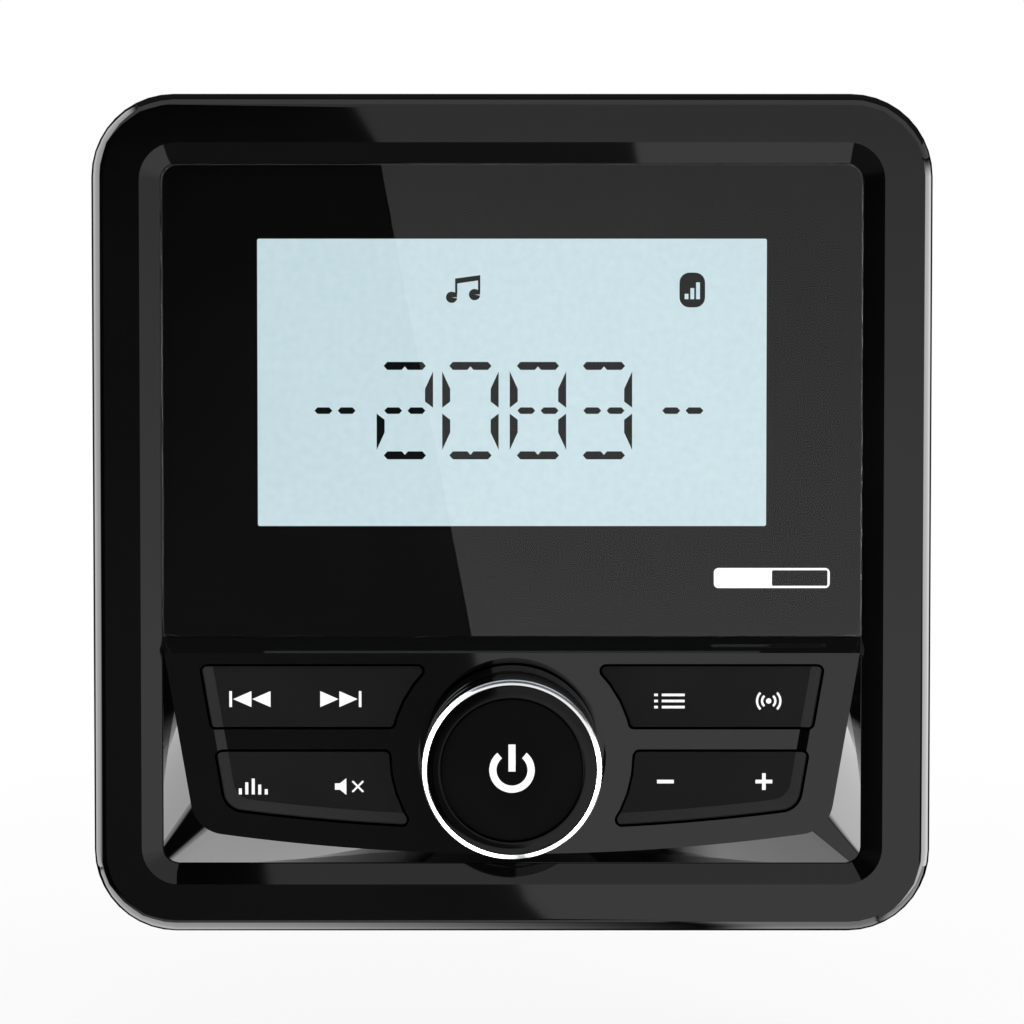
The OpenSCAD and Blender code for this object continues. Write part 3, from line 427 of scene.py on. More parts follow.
# %% Metals and ferrite
bright_trim = finish("bright_trim", (0.8, 0.81, 0.83), (0.88, 0.88, 0.89), (0.16, 0.21), 120, Metallic=1)
steel = finish(
    "steel", (0.42, 0.43, 0.44), (0.6, 0.61, 0.62), (0.22, 0.4), 900, stretch=(1, 0.2, 1), grain=5000,
    depth=0.004, Metallic=1,
)
stud_steel = finish("stud_steel", (0.5, 0.51, 0.52), (0.56, 0.57, 0.58), (0.4, 0.46), 60, Metallic=1)
tin_plate = finish(
    "tin_plate", (0.5, 0.51, 0.52), (0.66, 0.67, 0.68), (0.18, 0.32), 90, grain=2000, depth=0.004, Metallic=1,
)
contact_brass = finish("contact_brass", (0.52, 0.36, 0.12), (0.68, 0.5, 0.2), (0.2, 0.35), 700, Metallic=1)
sink_aluminium = finish(
    "sink_aluminium", (0.2, 0.21, 0.22), (0.34, 0.35, 0.36), (0.32, 0.5), 500, stretch=(1, 1, 0.03),
    grain=2200, depth=0.01, Metallic=1,
)
ferrite = finish(
    "ferrite", (0.05, 0.03, 0.022), (0.09, 0.055, 0.04), (0.55, 0.75), 300, grain=3000, depth=0.03,
)
print("finishes so far:", len(bpy.data.materials))

# %% The lit display
GLOW_TONES = ((0.535, 0.69, 0.735), (0.585, 0.735, 0.78))
GLOW_SCALE, GLOW_DETAIL = 900, 3

display_blue = finish(
    "display_blue", (0.02, 0.026, 0.028), (0.03, 0.036, 0.038), (0.08, 0.12), 30, Emission_Strength=1,
)
tree = display_blue.node_tree
place = tree.nodes.new("ShaderNodeTexCoord")
glow_noise = tree.nodes.new("ShaderNodeTexNoise")
glow_noise.inputs["Scale"].default_value = GLOW_SCALE
glow_noise.inputs["Detail"].default_value = GLOW_DETAIL
tree.links.new(place.outputs["Object"], glow_noise.inputs["Vector"])
glow_tone = ramp(tree, glow_noise.outputs["Fac"], GLOW_TONES, CLOUD_RANGE)
tree.links.new(glow_tone, tree.nodes["Principled BSDF"].inputs["Emission Color"])
print("finishes made:", len(bpy.data.materials))

# %% [markdown]
# ## Soft edges on the CAD solids
# A CAD solid arrives as loose flat triangles with razor edges, and no real moulding has those. Its mesh
# stays as it is, and a stack of live modifiers does the work: Weld joins the triangles, a planar Decimate
# clears the flat sides, Bevel breaks the sharp edges by a tenth of a millimetre or two, and Weighted Normal
# keeps the big faces flat while the small ones turn smoothly. Between them a small node group marks which
# edges stay sharp. Solids that are modelled again further down get no finish here.

# %% A stack of modifiers for a solid
# Lengths are in millimetres and angles in degrees
CREASE_NEAR = 1.5
WELD_NEAR = 0.002
FLAT_BELOW = 0.5
BREAK_ABOVE = 40
BREAK_STEPS = 3
SHARP_ABOVE = 32
NO_CREASE = -10

smooth_group = bpy.data.node_groups.new("smooth_below_angle", "GeometryNodeTree")
smooth_group.interface.new_socket("Geometry", in_out="INPUT", socket_type="NodeSocketGeometry")
limit_socket = smooth_group.interface.new_socket("Limit", in_out="INPUT", socket_type="NodeSocketFloat")
crease_socket = smooth_group.interface.new_socket("Crease", in_out="INPUT", socket_type="NodeSocketFloat")
smooth_group.interface.new_socket("Geometry", in_out="OUTPUT", socket_type="NodeSocketGeometry")
group_in = smooth_group.nodes.new("NodeGroupInput")
group_out = smooth_group.nodes.new("NodeGroupOutput")
edge_angle = smooth_group.nodes.new("GeometryNodeInputMeshEdgeAngle")
is_sharp = smooth_group.nodes.new("FunctionNodeCompare")
is_crease = smooth_group.nodes.new("FunctionNodeCompare")
is_crease.operation = "EQUAL"
is_crease.inputs["Epsilon"].default_value = math.radians(CREASE_NEAR)
either = smooth_group.nodes.new("FunctionNodeBooleanMath")
either.operation = "OR"
all_smooth = smooth_group.nodes.new("GeometryNodeSetShadeSmooth")
some_sharp = smooth_group.nodes.new("GeometryNodeSetShadeSmooth")
some_sharp.domain = "EDGE"
some_sharp.inputs["Shade Smooth"].default_value = False
smooth_group.links.new(edge_angle.outputs["Unsigned Angle"], is_sharp.inputs["A"])
smooth_group.links.new(group_in.outputs["Limit"], is_sharp.inputs["B"])
smooth_group.links.new(edge_angle.outputs["Unsigned Angle"], is_crease.inputs["A"])
smooth_group.links.new(group_in.outputs["Crease"], is_crease.inputs["B"])
smooth_group.links.new(is_sharp.outputs["Result"], either.inputs[0])
smooth_group.links.new(is_crease.outputs["Result"], either.inputs[1])
smooth_group.links.new(group_in.outputs["Geometry"], all_smooth.inputs["Geometry"])
smooth_group.links.new(all_smooth.outputs["Geometry"], some_sharp.inputs["Geometry"])
smooth_group.links.new(either.outputs[0], some_sharp.inputs["Selection"])
smooth_group.links.new(some_sharp.outputs["Geometry"], group_out.inputs[0])


def soften(solid, width, limit, crease):
    """Puts the stack on a CAD solid: edges broken by width in millimetres, smooth below limit in degrees.

    Edges close to the crease angle stay sharp although they are below the limit."""
    weld = solid.modifiers.new("weld", "WELD")
    weld.merge_threshold = WELD_NEAR * MM
    if width:
        clear = solid.modifiers.new("clear_flats", "DECIMATE")
        clear.decimate_type = "DISSOLVE"
        clear.angle_limit = math.radians(FLAT_BELOW)
        edge = solid.modifiers.new("broken_edge", "BEVEL")
        edge.width = width * MM
        edge.segments = BREAK_STEPS
        edge.limit_method = "ANGLE"
        edge.angle_limit = math.radians(BREAK_ABOVE)
        edge.use_clamp_overlap = True
    shade = solid.modifiers.new("smooth_below_angle", "NODES")
    shade.node_group = smooth_group
    shade[limit_socket.identifier] = math.radians(limit)
    shade[crease_socket.identifier] = math.radians(crease)
    even = solid.modifiers.new("flat_faces_first", "WEIGHTED_NORMAL")
    even.keep_sharp = True


def dress(surface, names, width=0.0, limit=SHARP_ABOVE, crease=NO_CREASE):
    """Gives CAD solids a finish and soft edges."""
    for name in names.split():
        solid = nodes[name]
        solid.data.materials.clear()
        solid.data.materials.append(surface)
        soften(solid, width, limit, crease)
    print(surface.name, "on", names)


# %% Dress the solids that stay
dress(gloss_black, "front_bezel", limit=16, crease=11.5)
dress(matte_black, "upper_left_key lower_left_key upper_right_key lower_right_key", limit=10)
dress(mask_black, "lens_mask")
dress(housing_black, "back_plate rear_can", 0.2)
dress(white_plastic, "lcd_frame encoder_plunger board_connector", 0.1)
dress(white_plastic, "harness_socket", 0.25)
dress(clear_guide, "light_guide", 0.1)
dress(display_blue, "lcd_glass")
dress(lens_clear, "display_lens", 0.08)
dress(lamp_resin, "backlight_leds", 0.1)
dress(strip_rubber, "contact_strip", 0.1)
dress(silicone, "key_membrane")
dress(dark_rubber, "bezel_seal panel_gasket contact_pills")
dress(chip_resin, "control_ic amplifier_ic encoder_body", 0.1)
dress(board_green, "front_pcb main_pcb")
dress(steel, "encoder_shaft encoder_bushing encoder_nut")
dress(steel, "fascia_screws board_screws bezel_screws main_board_screws heat_sink_screws")
dress(tin_plate, "tuner_module antenna_socket", 0.2)
dress(contact_brass, "harness_contacts")
dress(sink_aluminium, "heat_sink", 0.2)
dress(sleeve_blue, "capacitors")
dress(ferrite, "inductor")

# %% [markdown]
# ## Turning the knob
# The real knob is three turned parts: a glossy black body with two grooves in its side, a bright ring around
# its front edge and a matte disc in the middle. Anything turned can be drawn as half a section and spun
# round its axis. The section starts as a plane that is merged into one point. Extruding that point from
# place to place draws the outline as a pencil would, and the Spin operator carries it round. CAD could do
# that too, but here the rounding gets as many steps as a mirror finish needs.

# %% A lathe made of Spin
KNOB_Z = -31.5
LATHE_STEPS = 128
SAME_POINT = 0.001
TURNED_SMOOTH = 25


def begin(name):
    """Starts a new piece with one point at the origin and leaves it in edit mode."""
    bpy.ops.object.select_all(action="DESELECT")
    bpy.ops.mesh.primitive_plane_add(size=MM)
    piece = bpy.context.active_object
    piece.name = name
    bpy.ops.object.mode_set(mode="EDIT")
    bpy.ops.mesh.select_all(action="SELECT")
    bpy.ops.mesh.merge(type="CENTER")
    return piece


def draw_to(start, points):
    """Moves the selected point from start to the first of the points and extrudes it along the rest."""
    steps = [Vector(after) - Vector(before) for before, after in zip([start, *points], points)]
    bpy.ops.transform.translate(value=steps[0] * MM)
    for step in steps[1:]:
        bpy.ops.mesh.extrude_region_move(TRANSFORM_OT_translate={"value": step * MM})


def lathe(name, section, centre=(0, KNOB_Z), steps=LATHE_STEPS):
    """Spins a section of (radius, depth) pairs in millimetres round an axis along Y."""
    piece = begin(name)
    draw_to((0, 0, 0), [(centre[0] + radius, depth, centre[1]) for radius, depth in section])
    bpy.ops.mesh.select_all(action="SELECT")
    bpy.ops.mesh.spin(
        steps=steps,
        angle=math.tau,
        center=(centre[0] * MM, 0, centre[1] * MM),
        axis=(0, 1, 0),
    )
    bpy.ops.mesh.select_all(action="SELECT")
    bpy.ops.mesh.remove_doubles(threshold=SAME_POINT * MM)
    bpy.ops.mesh.normals_make_consistent(inside=False)
    bpy.ops.object.mode_set(mode="OBJECT")
    return piece


def use(piece, modifier, **values):
    """Adds a modifier with these values and applies it."""
    bpy.context.view_layer.objects.active = piece
    added = piece.modifiers.new(modifier.lower(), modifier)
    for key, value in values.items():
        setattr(added, key, value)
    bpy.ops.object.modifier_apply(modifier=added.name)


def pick(piece):
    """Selects one piece alone and makes it the active one."""
    bpy.ops.object.select_all(action="DESELECT")
    piece.select_set(True)
    bpy.context.view_layer.objects.active = piece


def smooth(piece, limit=TURNED_SMOOTH):
    """Shades a piece smoothly across edges below a limit in degrees."""
    pick(piece)
    bpy.ops.object.shade_smooth_by_angle(angle=math.radians(limit))


def seat(piece, surface, body, slot, *replaced):
    """Gives a finished piece its material and its body, and hides the CAD solids that it stands for. The slot
    is not used.
    """
    piece.data.materials.clear()
    piece.data.materials.append(surface)
    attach(piece, body)
    if replaced:
        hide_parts(*replaced)
    print(piece.name, "rides", body, "with", len(piece.data.polygons), "faces")


# %% Body, ring and disc of the knob
KNOB_FRONT = -39.8
KNOB_R, KNOB_BACK, BACK_ROUND = 11.5, -18.3, 0.3
HUB_R, HUB_BACK = 5, -27.5
HOLLOW_R, HOLLOW_FRONT = 9.1, KNOB_FRONT + 5
GROOVE_DEPTHS = (-28.4, -33.5)
GROOVE_SIZE = 0.42
RING_R, RING_BACK, RING_LIP = 10.75, KNOB_FRONT + 1.2, KNOB_FRONT + 0.36
RING_CURVE_R, RING_CURVE_BACK, RING_ROUND = 10.34, KNOB_FRONT + 1.391, 1.28
LIP_R, SLOPE_R, SLOPE_ROUND = 10.7, 9.42, 4.69
SEAT_R, SEAT_FRONT = 9.22, KNOB_FRONT + 1.65
CAP_R, CAP_BACK, CAP_FACE, CAP_ROUND = 9.1, KNOB_FRONT + 1.7, KNOB_FRONT + 0.4, 0.15


def quarter(centre_r, centre_d, wide, deep, first, last, count=10):
    """Points of a rounded corner: part of an ellipse, from angle first to last.

    Angle 0 points outwards and angle 90 to the front."""
    turns = [math.radians(first + (last - first) * step / count) for step in range(count + 1)]
    return [(centre_r + wide * math.cos(turn), centre_d - deep * math.sin(turn)) for turn in turns]


def groove(radius, depth, size=GROOVE_SIZE):
    """Points of a V-shaped groove in the side of a turned part."""
    return [(radius, depth + size), (radius - size, depth), (radius, depth - size)]


knob_section = [
    (0, HUB_BACK), (HUB_R, HUB_BACK), (HUB_R, HOLLOW_FRONT), (HOLLOW_R, HOLLOW_FRONT), (HOLLOW_R, KNOB_BACK),
    *quarter(KNOB_R - BACK_ROUND, KNOB_BACK - BACK_ROUND, BACK_ROUND, -BACK_ROUND, 90, 0, 4),
    *groove(KNOB_R, GROOVE_DEPTHS[0]), *groove(KNOB_R, GROOVE_DEPTHS[1]),
    (KNOB_R, RING_BACK), (LIP_R, RING_BACK),
    *quarter(SLOPE_R, KNOB_FRONT + SLOPE_ROUND, SLOPE_ROUND, SLOPE_ROUND, 74, 92, 10),
    (SEAT_R, SEAT_FRONT), (0, SEAT_FRONT),
]
knob_body = lathe("knob_body_turned", knob_section)
smooth(knob_body)
seat(knob_body, knob_black, "knob", "gloss_black", "knob_body")

ring_section = [
    (RING_R, RING_BACK), (KNOB_R, RING_BACK),
    *quarter(RING_CURVE_R, RING_CURVE_BACK, RING_ROUND, RING_ROUND, 25, 65, 12),
    (RING_R, RING_LIP), (RING_R, RING_BACK),
]
knob_ring = lathe("knob_ring_turned", ring_section)
smooth(knob_ring)
seat(knob_ring, bright_trim, "knob", "bright_trim", "knob_ring")

cap_section = [
    (0, CAP_BACK), (CAP_R, CAP_BACK),
    *quarter(CAP_R - CAP_ROUND, CAP_FACE + CAP_ROUND, CAP_ROUND, CAP_ROUND, 0, 90, 5),
    (0, CAP_FACE),
]
knob_cap = lathe("knob_disc_turned", cap_section)
smooth(knob_cap)
seat(knob_cap, cap_black, "knob", "matte_black", "knob_cap")

# %% [markdown]
# ## Threads on the studs
# The two studs behind the can carry an M5 thread, which CAD leaves out. The same lathe cuts it: at this size
# a row of V-shaped grooves, one per pitch, can't be told from a true helix. Both studs are one node in CAD,
# so they are joined into one piece here.

# %% Two studs from one section
STUD_X, STUD_R, STUD_ROOT_R = 33, 2.5, 2.9
STUD_FIRST, STUD_STEP_Y, STUD_END = 31.5, 40, 72
STUD_STEPS = 40
THREAD_PITCH, THREAD_DEPTH, TIP_CHAMFER = 0.8, 0.38, 0.5
THREAD_TURNS = 37

stud_section = [(0, STUD_END), (STUD_R - TIP_CHAMFER, STUD_END), (STUD_R, STUD_END - TIP_CHAMFER)]
for turn in range(THREAD_TURNS):
    stud_section += groove(STUD_R, STUD_END - 2 * TIP_CHAMFER - turn * THREAD_PITCH, THREAD_DEPTH)
stud_section += [(STUD_R, STUD_STEP_Y), (STUD_ROOT_R, STUD_STEP_Y)]
stud_section += [(STUD_ROOT_R, STUD_FIRST), (0, STUD_FIRST)]
left_stud = lathe("stud_left", stud_section, centre=(-STUD_X, 0), steps=STUD_STEPS)
studs = lathe("studs_threaded", stud_section, centre=(STUD_X, 0), steps=STUD_STEPS)
left_stud.select_set(True)
bpy.ops.object.join()
smooth(studs)
seat(studs, stud_steel, "chassis", "steel", "clamp_studs")

# %% [markdown]
# ## Twisted walls of the control fascia
# The walls of the fascia start upright at the top of each side and lie almost flat at the lower corners, so
# they twist. The CAD solid spans them with flat facets, and a mirror finish shows every facet. A copy of
# that solid is cut here by an envelope with truly twisted walls. The envelope has two loops of points, the
# foot and the raised panel, and Bridge Edge Loops joins each point of the one to its partner on the other.

# %% Points of the two loops
Y_FOOT, Y_PANEL = -20.96, -23.3
FOOT_HALF, FOOT_R, FOOT_TOP = 45.8, 2.2, -15.6
PANEL_HALF, PANEL_R, PANEL_TOP, PANEL_LOW = 45.47, 4.6, -17.45, -44.37
LEAN = math.radians(9.8)
LEAN_TOP = -17.95
BOW_R = 280
SIDE_STEPS, CORNER_STEPS, BOW_STEPS = 28, 10, 16
CORNER_TRIES = 8


def side_x(z):
    """Half width of the raised panel at a height."""
    return PANEL_HALF - (LEAN_TOP - z) * math.tan(LEAN)


# Each try moves the middle of the corner's arc closer to where it touches both the side and the bow
corner_z = PANEL_LOW
for _ in range(CORNER_TRIES):
    corner_x = side_x(corner_z) - PANEL_R / math.cos(LEAN)
    corner_z = PANEL_LOW + BOW_R - math.sqrt((BOW_R - PANEL_R) ** 2 - corner_x ** 2)
bow_turn = math.asin(corner_x / (BOW_R - PANEL_R))
side_end = corner_z - PANEL_R * math.sin(LEAN)
foot_end = FOOT_R - FOOT_HALF

panel_half, foot_half = [], []
for step in range(SIDE_STEPS + 1):
    share = step / SIDE_STEPS
    z = PANEL_TOP + (side_end - PANEL_TOP) * share
    panel_half.append((side_x(z), z))
    foot_half.append((FOOT_HALF, FOOT_TOP + (foot_end - FOOT_TOP) * share))
for step in range(1, CORNER_STEPS + 1):
    share = step / CORNER_STEPS
    turn = LEAN + (math.pi / 2 - bow_turn - LEAN) * share
    panel_half.append((corner_x + PANEL_R * math.cos(turn), corner_z - PANEL_R * math.sin(turn)))
    turn = math.pi / 2 * share
    foot_half.append((FOOT_HALF - FOOT_R + FOOT_R * math.cos(turn), foot_end - FOOT_R * math.sin(turn)))
for step in range(1, BOW_STEPS + 1):
    share = step / BOW_STEPS
    turn = bow_turn * (1 - share)
    panel_half.append((BOW_R * math.sin(turn), PANEL_LOW + BOW_R - BOW_R * math.cos(turn)))
    foot_half.append(((FOOT_HALF - FOOT_R) * (1 - share), -FOOT_HALF))
print("points in half a loop:", len(panel_half), len(foot_half))

# %% Envelope and cut
PANEL_RISE = 1
FOOT_STEP, FOOT_SINK = 0.02, 20
FLARE, FLARE_Z = 1.3, -30
SLIVER = 0.03
ORDER_POINT = (0.31, -0.47, 0.73)
WALL_SMOOTH = 14


def fresh_point():
    """Adds one more point at the origin to the piece in edit mode and selects only it."""
    bpy.ops.mesh.select_all(action="DESELECT")
    bpy.ops.mesh.primitive_plane_add(size=MM)
    bpy.ops.mesh.merge(type="CENTER")


def extrude(depth):
    """Extrudes what is selected along Y by a depth in millimetres."""
    bpy.ops.mesh.extrude_region_move(TRANSFORM_OT_translate={"value": (0, depth * MM, 0)})


def closed_loop(half, depth):
    """Draws a loop from the points of its right half and leaves it selected."""
    points = half + [(-x, z) for x, z in reversed(half[:-1])]
    draw_to((0, 0, 0), [(x, depth, z) for x, z in [*points, points[0]]])
    bpy.ops.mesh.select_linked()
    bpy.ops.mesh.remove_doubles(threshold=SAME_POINT * MM)


envelope = begin("fascia_envelope")
closed_loop(panel_half, Y_PANEL)
extrude(-PANEL_RISE)
bpy.ops.mesh.edge_face_add()
fresh_point()
closed_loop(foot_half, Y_FOOT)
extrude(FOOT_STEP)
bpy.ops.transform.resize(value=(FLARE, 1, FLARE), center_override=(0, Y_FOOT * MM, FLARE_Z * MM))
extrude(FOOT_SINK)
bpy.ops.mesh.edge_face_add()
bpy.ops.mesh.select_all(action="DESELECT")
bpy.ops.mesh.select_non_manifold(
    use_wire=False,
    use_multi_face=False,
    use_non_contiguous=False,
    use_verts=False,
)
bpy.ops.mesh.bridge_edge_loops()
bpy.ops.mesh.select_all(action="SELECT")
bpy.ops.mesh.normals_make_consistent(inside=False)
bpy.ops.object.mode_set(mode="OBJECT")

fascia = bpy.data.objects.new("fascia_twisted", nodes["control_fascia"].data.copy())
bpy.context.scene.collection.objects.link(fascia)
pick(fascia)
bpy.ops.object.mode_set(mode="EDIT")
bpy.ops.mesh.select_all(action="SELECT")
bpy.ops.mesh.remove_doubles(threshold=WELD_NEAR * MM)
bpy.ops.object.mode_set(mode="OBJECT")
bpy.ops.mesh.customdata_custom_splitnormals_clear()
use(fascia, "BOOLEAN", operation="INTERSECT", object=envelope, solver="EXACT")
bpy.data.objects.remove(envelope)
bpy.ops.object.mode_set(mode="EDIT")
bpy.ops.mesh.select_all(action="SELECT")
# Points are sorted by their distance from a far point, so that the merge comes out alike in each run
cursor = bpy.context.scene.cursor
cursor.location = ORDER_POINT
bpy.ops.mesh.sort_elements(type="CURSOR_DISTANCE", elements={"VERT", "EDGE", "FACE"})
cursor.location = (0, 0, 0)
bpy.ops.mesh.remove_doubles(threshold=SLIVER * MM)
bpy.ops.mesh.dissolve_degenerate(threshold=SAME_POINT * MM)
bpy.ops.object.mode_set(mode="OBJECT")
smooth(fascia, WALL_SMOOTH)
use(fascia, "WEIGHTED_NORMAL", keep_sharp=True)
seat(fascia, gloss_black, "chassis", "gloss_black", "control_fascia")

# %% [markdown]
# ## The display behind its lens
# The lens is clear, its back is printed black except for one window, and the display is bonded to it there.
# So print, digits and lit panel all lie a few hundredths of a millimetre inside the lens: a ray that has
# entered the lens then meets them before it meets the back of the lens, and there is no second mirror image.
# The liquid crystal shows plain digits, made of short tapering segments. A segment is a flat outline that is
# drawn point by point, filled with one face and extruded by a hundredth of a millimetre.

# %% Flat shapes from outlines
PILL_STEPS = 6


def flat(name, outlines, front, thick):
    """Makes thin plates from outlines of (x, z) points in millimetres, all with their front at one depth."""
    piece = begin(name)
    for number, outline in enumerate(outlines):
        if number:
            fresh_point()
        draw_to((0, 0, 0), [(x, front, z) for x, z in outline])
        bpy.ops.mesh.select_linked()
        bpy.ops.mesh.edge_face_add()
    bpy.ops.mesh.select_all(action="SELECT")
    extrude(thick)
    bpy.ops.mesh.select_all(action="SELECT")
    bpy.ops.mesh.normals_make_consistent(inside=False)
    bpy.ops.object.mode_set(mode="OBJECT")
    return piece


def cut_out(piece, outline, front, thick):
    """Cuts the shape of an outline out of a piece."""
    cutter = flat("cutter", [outline], front, thick)
    use(piece, "BOOLEAN", operation="DIFFERENCE", object=cutter, solver="EXACT")
    bpy.data.objects.remove(cutter)


def moved(outline, x, z, flip_x=1, flip_z=1):
    """The same outline at another place, mirrored where a flip is -1."""
    return [(x + flip_x * px, z + flip_z * pz) for px, pz in outline]


def arc(inner, outer, first, last, count=10):
    """Outline of a bent band round the middle, from angle first to last in degrees."""
    turns = [math.radians(first + (last - first) * step / count) for step in range(count + 1)]
    outside = [(outer * math.cos(turn), outer * math.sin(turn)) for turn in turns]
    inside = [(inner * math.cos(turn), inner * math.sin(turn)) for turn in reversed(turns)]
    return outside + inside


def bar(left, low, right, top):
    """Outline of an upright rectangle."""
    return [(left, low), (right, low), (right, top), (left, top)]


def pill(wide, high, round_r):
    """Outline of a rectangle with round corners round the middle."""
    outline = []
    for corner, (side, rise) in enumerate([(1, 1), (-1, 1), (-1, -1), (1, -1)]):
        middle = (side * (wide / 2 - round_r), rise * (high / 2 - round_r))
        turns = [math.radians(90 * corner + 90 * step / PILL_STEPS) for step in range(PILL_STEPS + 1)]
        outline += [(middle[0] + round_r * math.cos(t), middle[1] + round_r * math.sin(t)) for t in turns]
    return outline


# %% Black print with its window
PRINT_Y, PANEL_Y, SEGMENT_Y, SIGNAL_Y = -18.985, -18.965, -18.98, -18.99
THIN, SIGNAL_THIN = 0.01, 0.005
PRINT_Z, WINDOW_Z = 14.875, 17.275
CUT_FROM, CUT_DEEP = -20, 3

lens_print = flat("lens_print", [moved(pill(91.5, 61.65, 2.1), 0, PRINT_Z)], PRINT_Y, THIN)
cut_out(lens_print, moved(pill(66.7, 37.65, 0.25), 0, WINDOW_Z), CUT_FROM, CUT_DEEP)
seat(lens_print, print_black, "chassis", "mask_black")

panel = flat("display_panel", [moved(bar(-34, -19.5, 34, 19.5), 0, WINDOW_Z)], PANEL_Y, THIN)
seat(panel, display_blue, "chassis", "display")

# %% Digits on the display
ACROSS = [
    (-2.77, 5.87), (-2.3, 6.39), (2.3, 6.39), (2.77, 5.87), (2.3, 5.34),
    (0.4, 5.34), (0, 5.8), (-0.4, 5.34), (-2.3, 5.34),
]
UPRIGHT = [(3.7, 5.15), (3.7, 0.38), (2.65, 1.19), (2.65, 2.86)]
DASH = [(0.35, 0), (0.75, 0.43), (2.3, 0.43), (2.7, 0), (2.3, -0.43), (0.75, -0.43)]
SEGMENTS = {
    "top": [(ACROSS, 1, 1)],
    "low": [(ACROSS, 1, -1)],
    "right_up": [(UPRIGHT, 1, 1)],
    "right_low": [(UPRIGHT, 1, -1)],
    "left_up": [(UPRIGHT, -1, 1)],
    "left_low": [(UPRIGHT, -1, -1)],
    "middle": [(DASH, 1, 1), (DASH, -1, 1)],
}
DIGITS = {
    "2": "top right_up middle left_low low",
    "0": "top right_up right_low low left_low left_up",
    "8": "top right_up right_low low left_low left_up middle",
    "3": "top right_up middle right_low low",
    "-": "middle",
}
DIGIT_Z = 13.6
SHOWN = [("2", -14.05), ("0", -5.45), ("8", 3.4), ("3", 12.05), ("-", -23.2), ("-", 22.4)]

digit_outlines = []
for digit, x in SHOWN:
    for segment in DIGITS[digit].split():
        for outline, flip_x, flip_z in SEGMENTS[segment]:
            digit_outlines.append(moved(outline, x, DIGIT_Z, flip_x, flip_z))
digits = flat("display_digits", digit_outlines, SEGMENT_Y, THIN)
seat(digits, segment_black, "chassis", "mask_black")

# %% Small signs on the display, and the label below it
NOTE_X, NOTE_Z = -6.3, 29.4
NOTE_HEAD = arc(0.01, 0.75, 0, 350, 16)
NOTE_STEMS = [
    (-1.15, -0.6), (-0.85, -0.6), (-0.85, 0.85), (1.85, 1.25),
    (1.85, -0.35), (2.15, -0.35), (2.15, 1.95), (-1.15, 1.5),
]
BADGE_X, BADGE_Z = 23.6, 29.4
STAIR = 0.75
LABEL_Z, LABEL_Y, LABEL_THICK = -8.3, -20.975, 0.035
LABEL_CUT_FROM, LABEL_CUT_DEEP = -22, 2

note_outlines = [
    moved(NOTE_HEAD, NOTE_X - 1.6, NOTE_Z - 0.95),
    moved(NOTE_HEAD, NOTE_X + 1.4, NOTE_Z - 0.6),
    moved(NOTE_STEMS, NOTE_X, NOTE_Z),
]
note = flat("display_note", note_outlines, SEGMENT_Y, THIN)
seat(note, segment_black, "chassis", "mask_black")

badge = flat("display_badge", [moved(pill(3.35, 4.55, 1.3), BADGE_X, BADGE_Z)], SEGMENT_Y, THIN)
seat(badge, segment_black, "chassis", "mask_black")
rising = [bar(-1.0 + STAIR * step, -1.2, -0.5 + STAIR * step, -0.5 + STAIR * step) for step in range(3)]
stairs = [moved(outline, BADGE_X, BADGE_Z) for outline in rising]
signal = flat("display_signal", stairs, SIGNAL_Y, SIGNAL_THIN)
seat(signal, display_blue, "chassis", "display")

label = flat("lens_label", [moved(pill(15.2, 2.65, 0.6), 34.05, LABEL_Z)], LABEL_Y, LABEL_THICK)
cut_out(label, moved(pill(7.28, 2.04, 0.2), 37.71, LABEL_Z), LABEL_CUT_FROM, LABEL_CUT_DEEP)
label.visible_glossy = False
seat(label, legend_white_painted_glow, "chassis", "white_plastic")

# %% [markdown]
# ## Legends on the keys and the knob
# The signs on the keys are printed in white. They are flat shapes too, and each one rides its key, so that it
# rocks with it. On the left stand skip signs, an equaliser and a crossed speaker. On the right stand a list,
# radio waves, minus and plus. The knob carries the usual sign for on and off.

# %% Outlines of the signs
SKIP = [
    bar(-2.7, -1.05, -2.35, 1.05),
    [(-2.2, 0), (0.2, 1.05), (0.2, -1.05)],
    [(0.3, 0), (2.7, 1.05), (2.7, -1.05)],
]
LEVEL_STEP = 0.85
LEVELS = [
    bar(-1.9 + LEVEL_STEP * step, -1.05, -1.5 + LEVEL_STEP * step, -1.05 + high)
    for step, high in enumerate((0.8, 1.6, 2.1, 1.3, 0.7))
]
CROSS = [
    (0, 0.18), (0.62, 0.8), (0.8, 0.62), (0.18, 0), (0.8, -0.62), (0.62, -0.8),
    (0, -0.18), (-0.62, -0.8), (-0.8, -0.62), (-0.18, 0), (-0.8, 0.62), (-0.62, 0.8),
]
SPEAKER = [
    [(-2.0, -0.42), (-1.35, -0.42), (-0.5, -1.1), (-0.5, 1.1), (-1.35, 0.42), (-2.0, 0.42)],
    moved(CROSS, 1.0, 0),
]
LIST_STEP, LIST_HALF = 0.8, 0.17
LIST = []
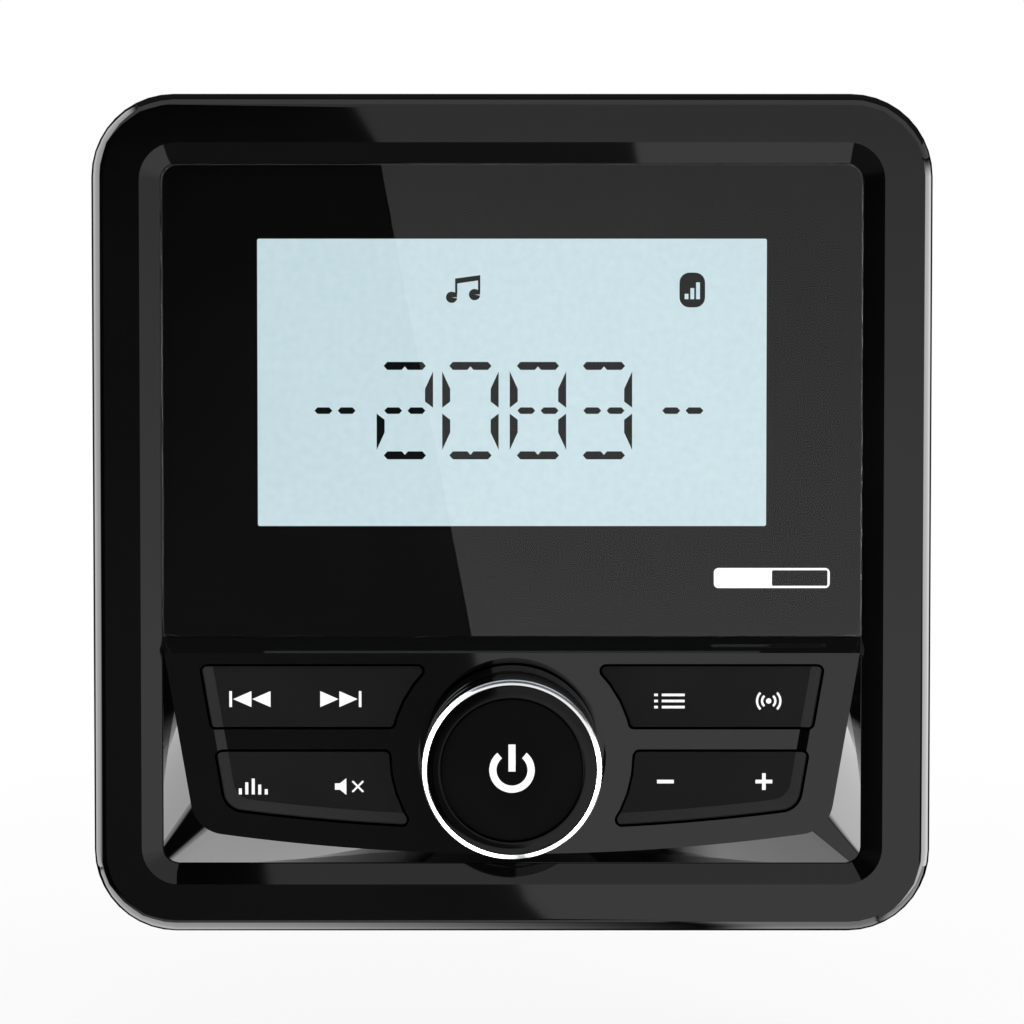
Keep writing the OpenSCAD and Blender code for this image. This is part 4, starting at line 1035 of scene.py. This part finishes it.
for left, right in ((-1.0, 2.0), (-2.0, -1.5)):
    for line in (-1, 0, 1):
        LIST.append(bar(left, LIST_STEP * line - LIST_HALF, right, LIST_STEP * line + LIST_HALF))
WAVES = [
    arc(0.01, 0.36, 0, 350, 14),
    arc(0.72, 1.02, -50, 50),
    arc(1.38, 1.68, -45, 45),
    arc(0.72, 1.02, 130, 230),
    arc(1.38, 1.68, 135, 225),
]
MINUS = [bar(-1.1, -0.24, 1.1, 0.24)]
PLUS = [[
    (-0.24, 1.1), (-0.24, 0.24), (-1.1, 0.24), (-1.1, -0.24), (-0.24, -0.24), (-0.24, -1.1),
    (0.24, -1.1), (0.24, -0.24), (1.1, -0.24), (1.1, 0.24), (0.24, 0.24), (0.24, 1.1),
]]
POWER = [arc(1.98, 2.9, 130, 410, 40), bar(-0.45, -0.18, 0.45, 3.28)]
print("signs drawn: 8 for the keys and 1 for the knob")

# %% Print them
KEY_FACE = -22.8
INK_PROUD, INK_THICK = 0.03, 0.04
PRINTS = [
    ("legend_back", SKIP, 1, -34.3, -24.05, "upper_left_rocker"),
    ("legend_forward", SKIP, -1, -22.4, -24.05, "upper_left_rocker"),
    ("legend_levels", LEVELS, 1, -33.9, -35.55, "lower_left_rocker"),
    ("legend_mute", SPEAKER, 1, -21.2, -35.55, "lower_left_rocker"),
    ("legend_list", LIST, 1, 20.6, -24.3, "upper_right_rocker"),
    ("legend_waves", WAVES, 1, 33.6, -24.3, "upper_right_rocker"),
    ("legend_minus", MINUS, 1, 20.1, -34.9, "lower_right_rocker"),
    ("legend_plus", PLUS, 1, 33.0, -34.9, "lower_right_rocker"),
]
for name, outlines, flip, x, z, body in PRINTS:
    sign = flat(name, [moved(outline, x, z, flip) for outline in outlines], KEY_FACE - INK_PROUD, INK_THICK)
    seat(sign, legend_white_painted_glow, body, "white_plastic")

power_outlines = [moved(outline, 0, KNOB_Z) for outline in POWER]
power = flat("legend_power", power_outlines, CAP_FACE - INK_PROUD, INK_THICK)
seat(power, legend_white_painted_glow, "knob", "white_plastic")
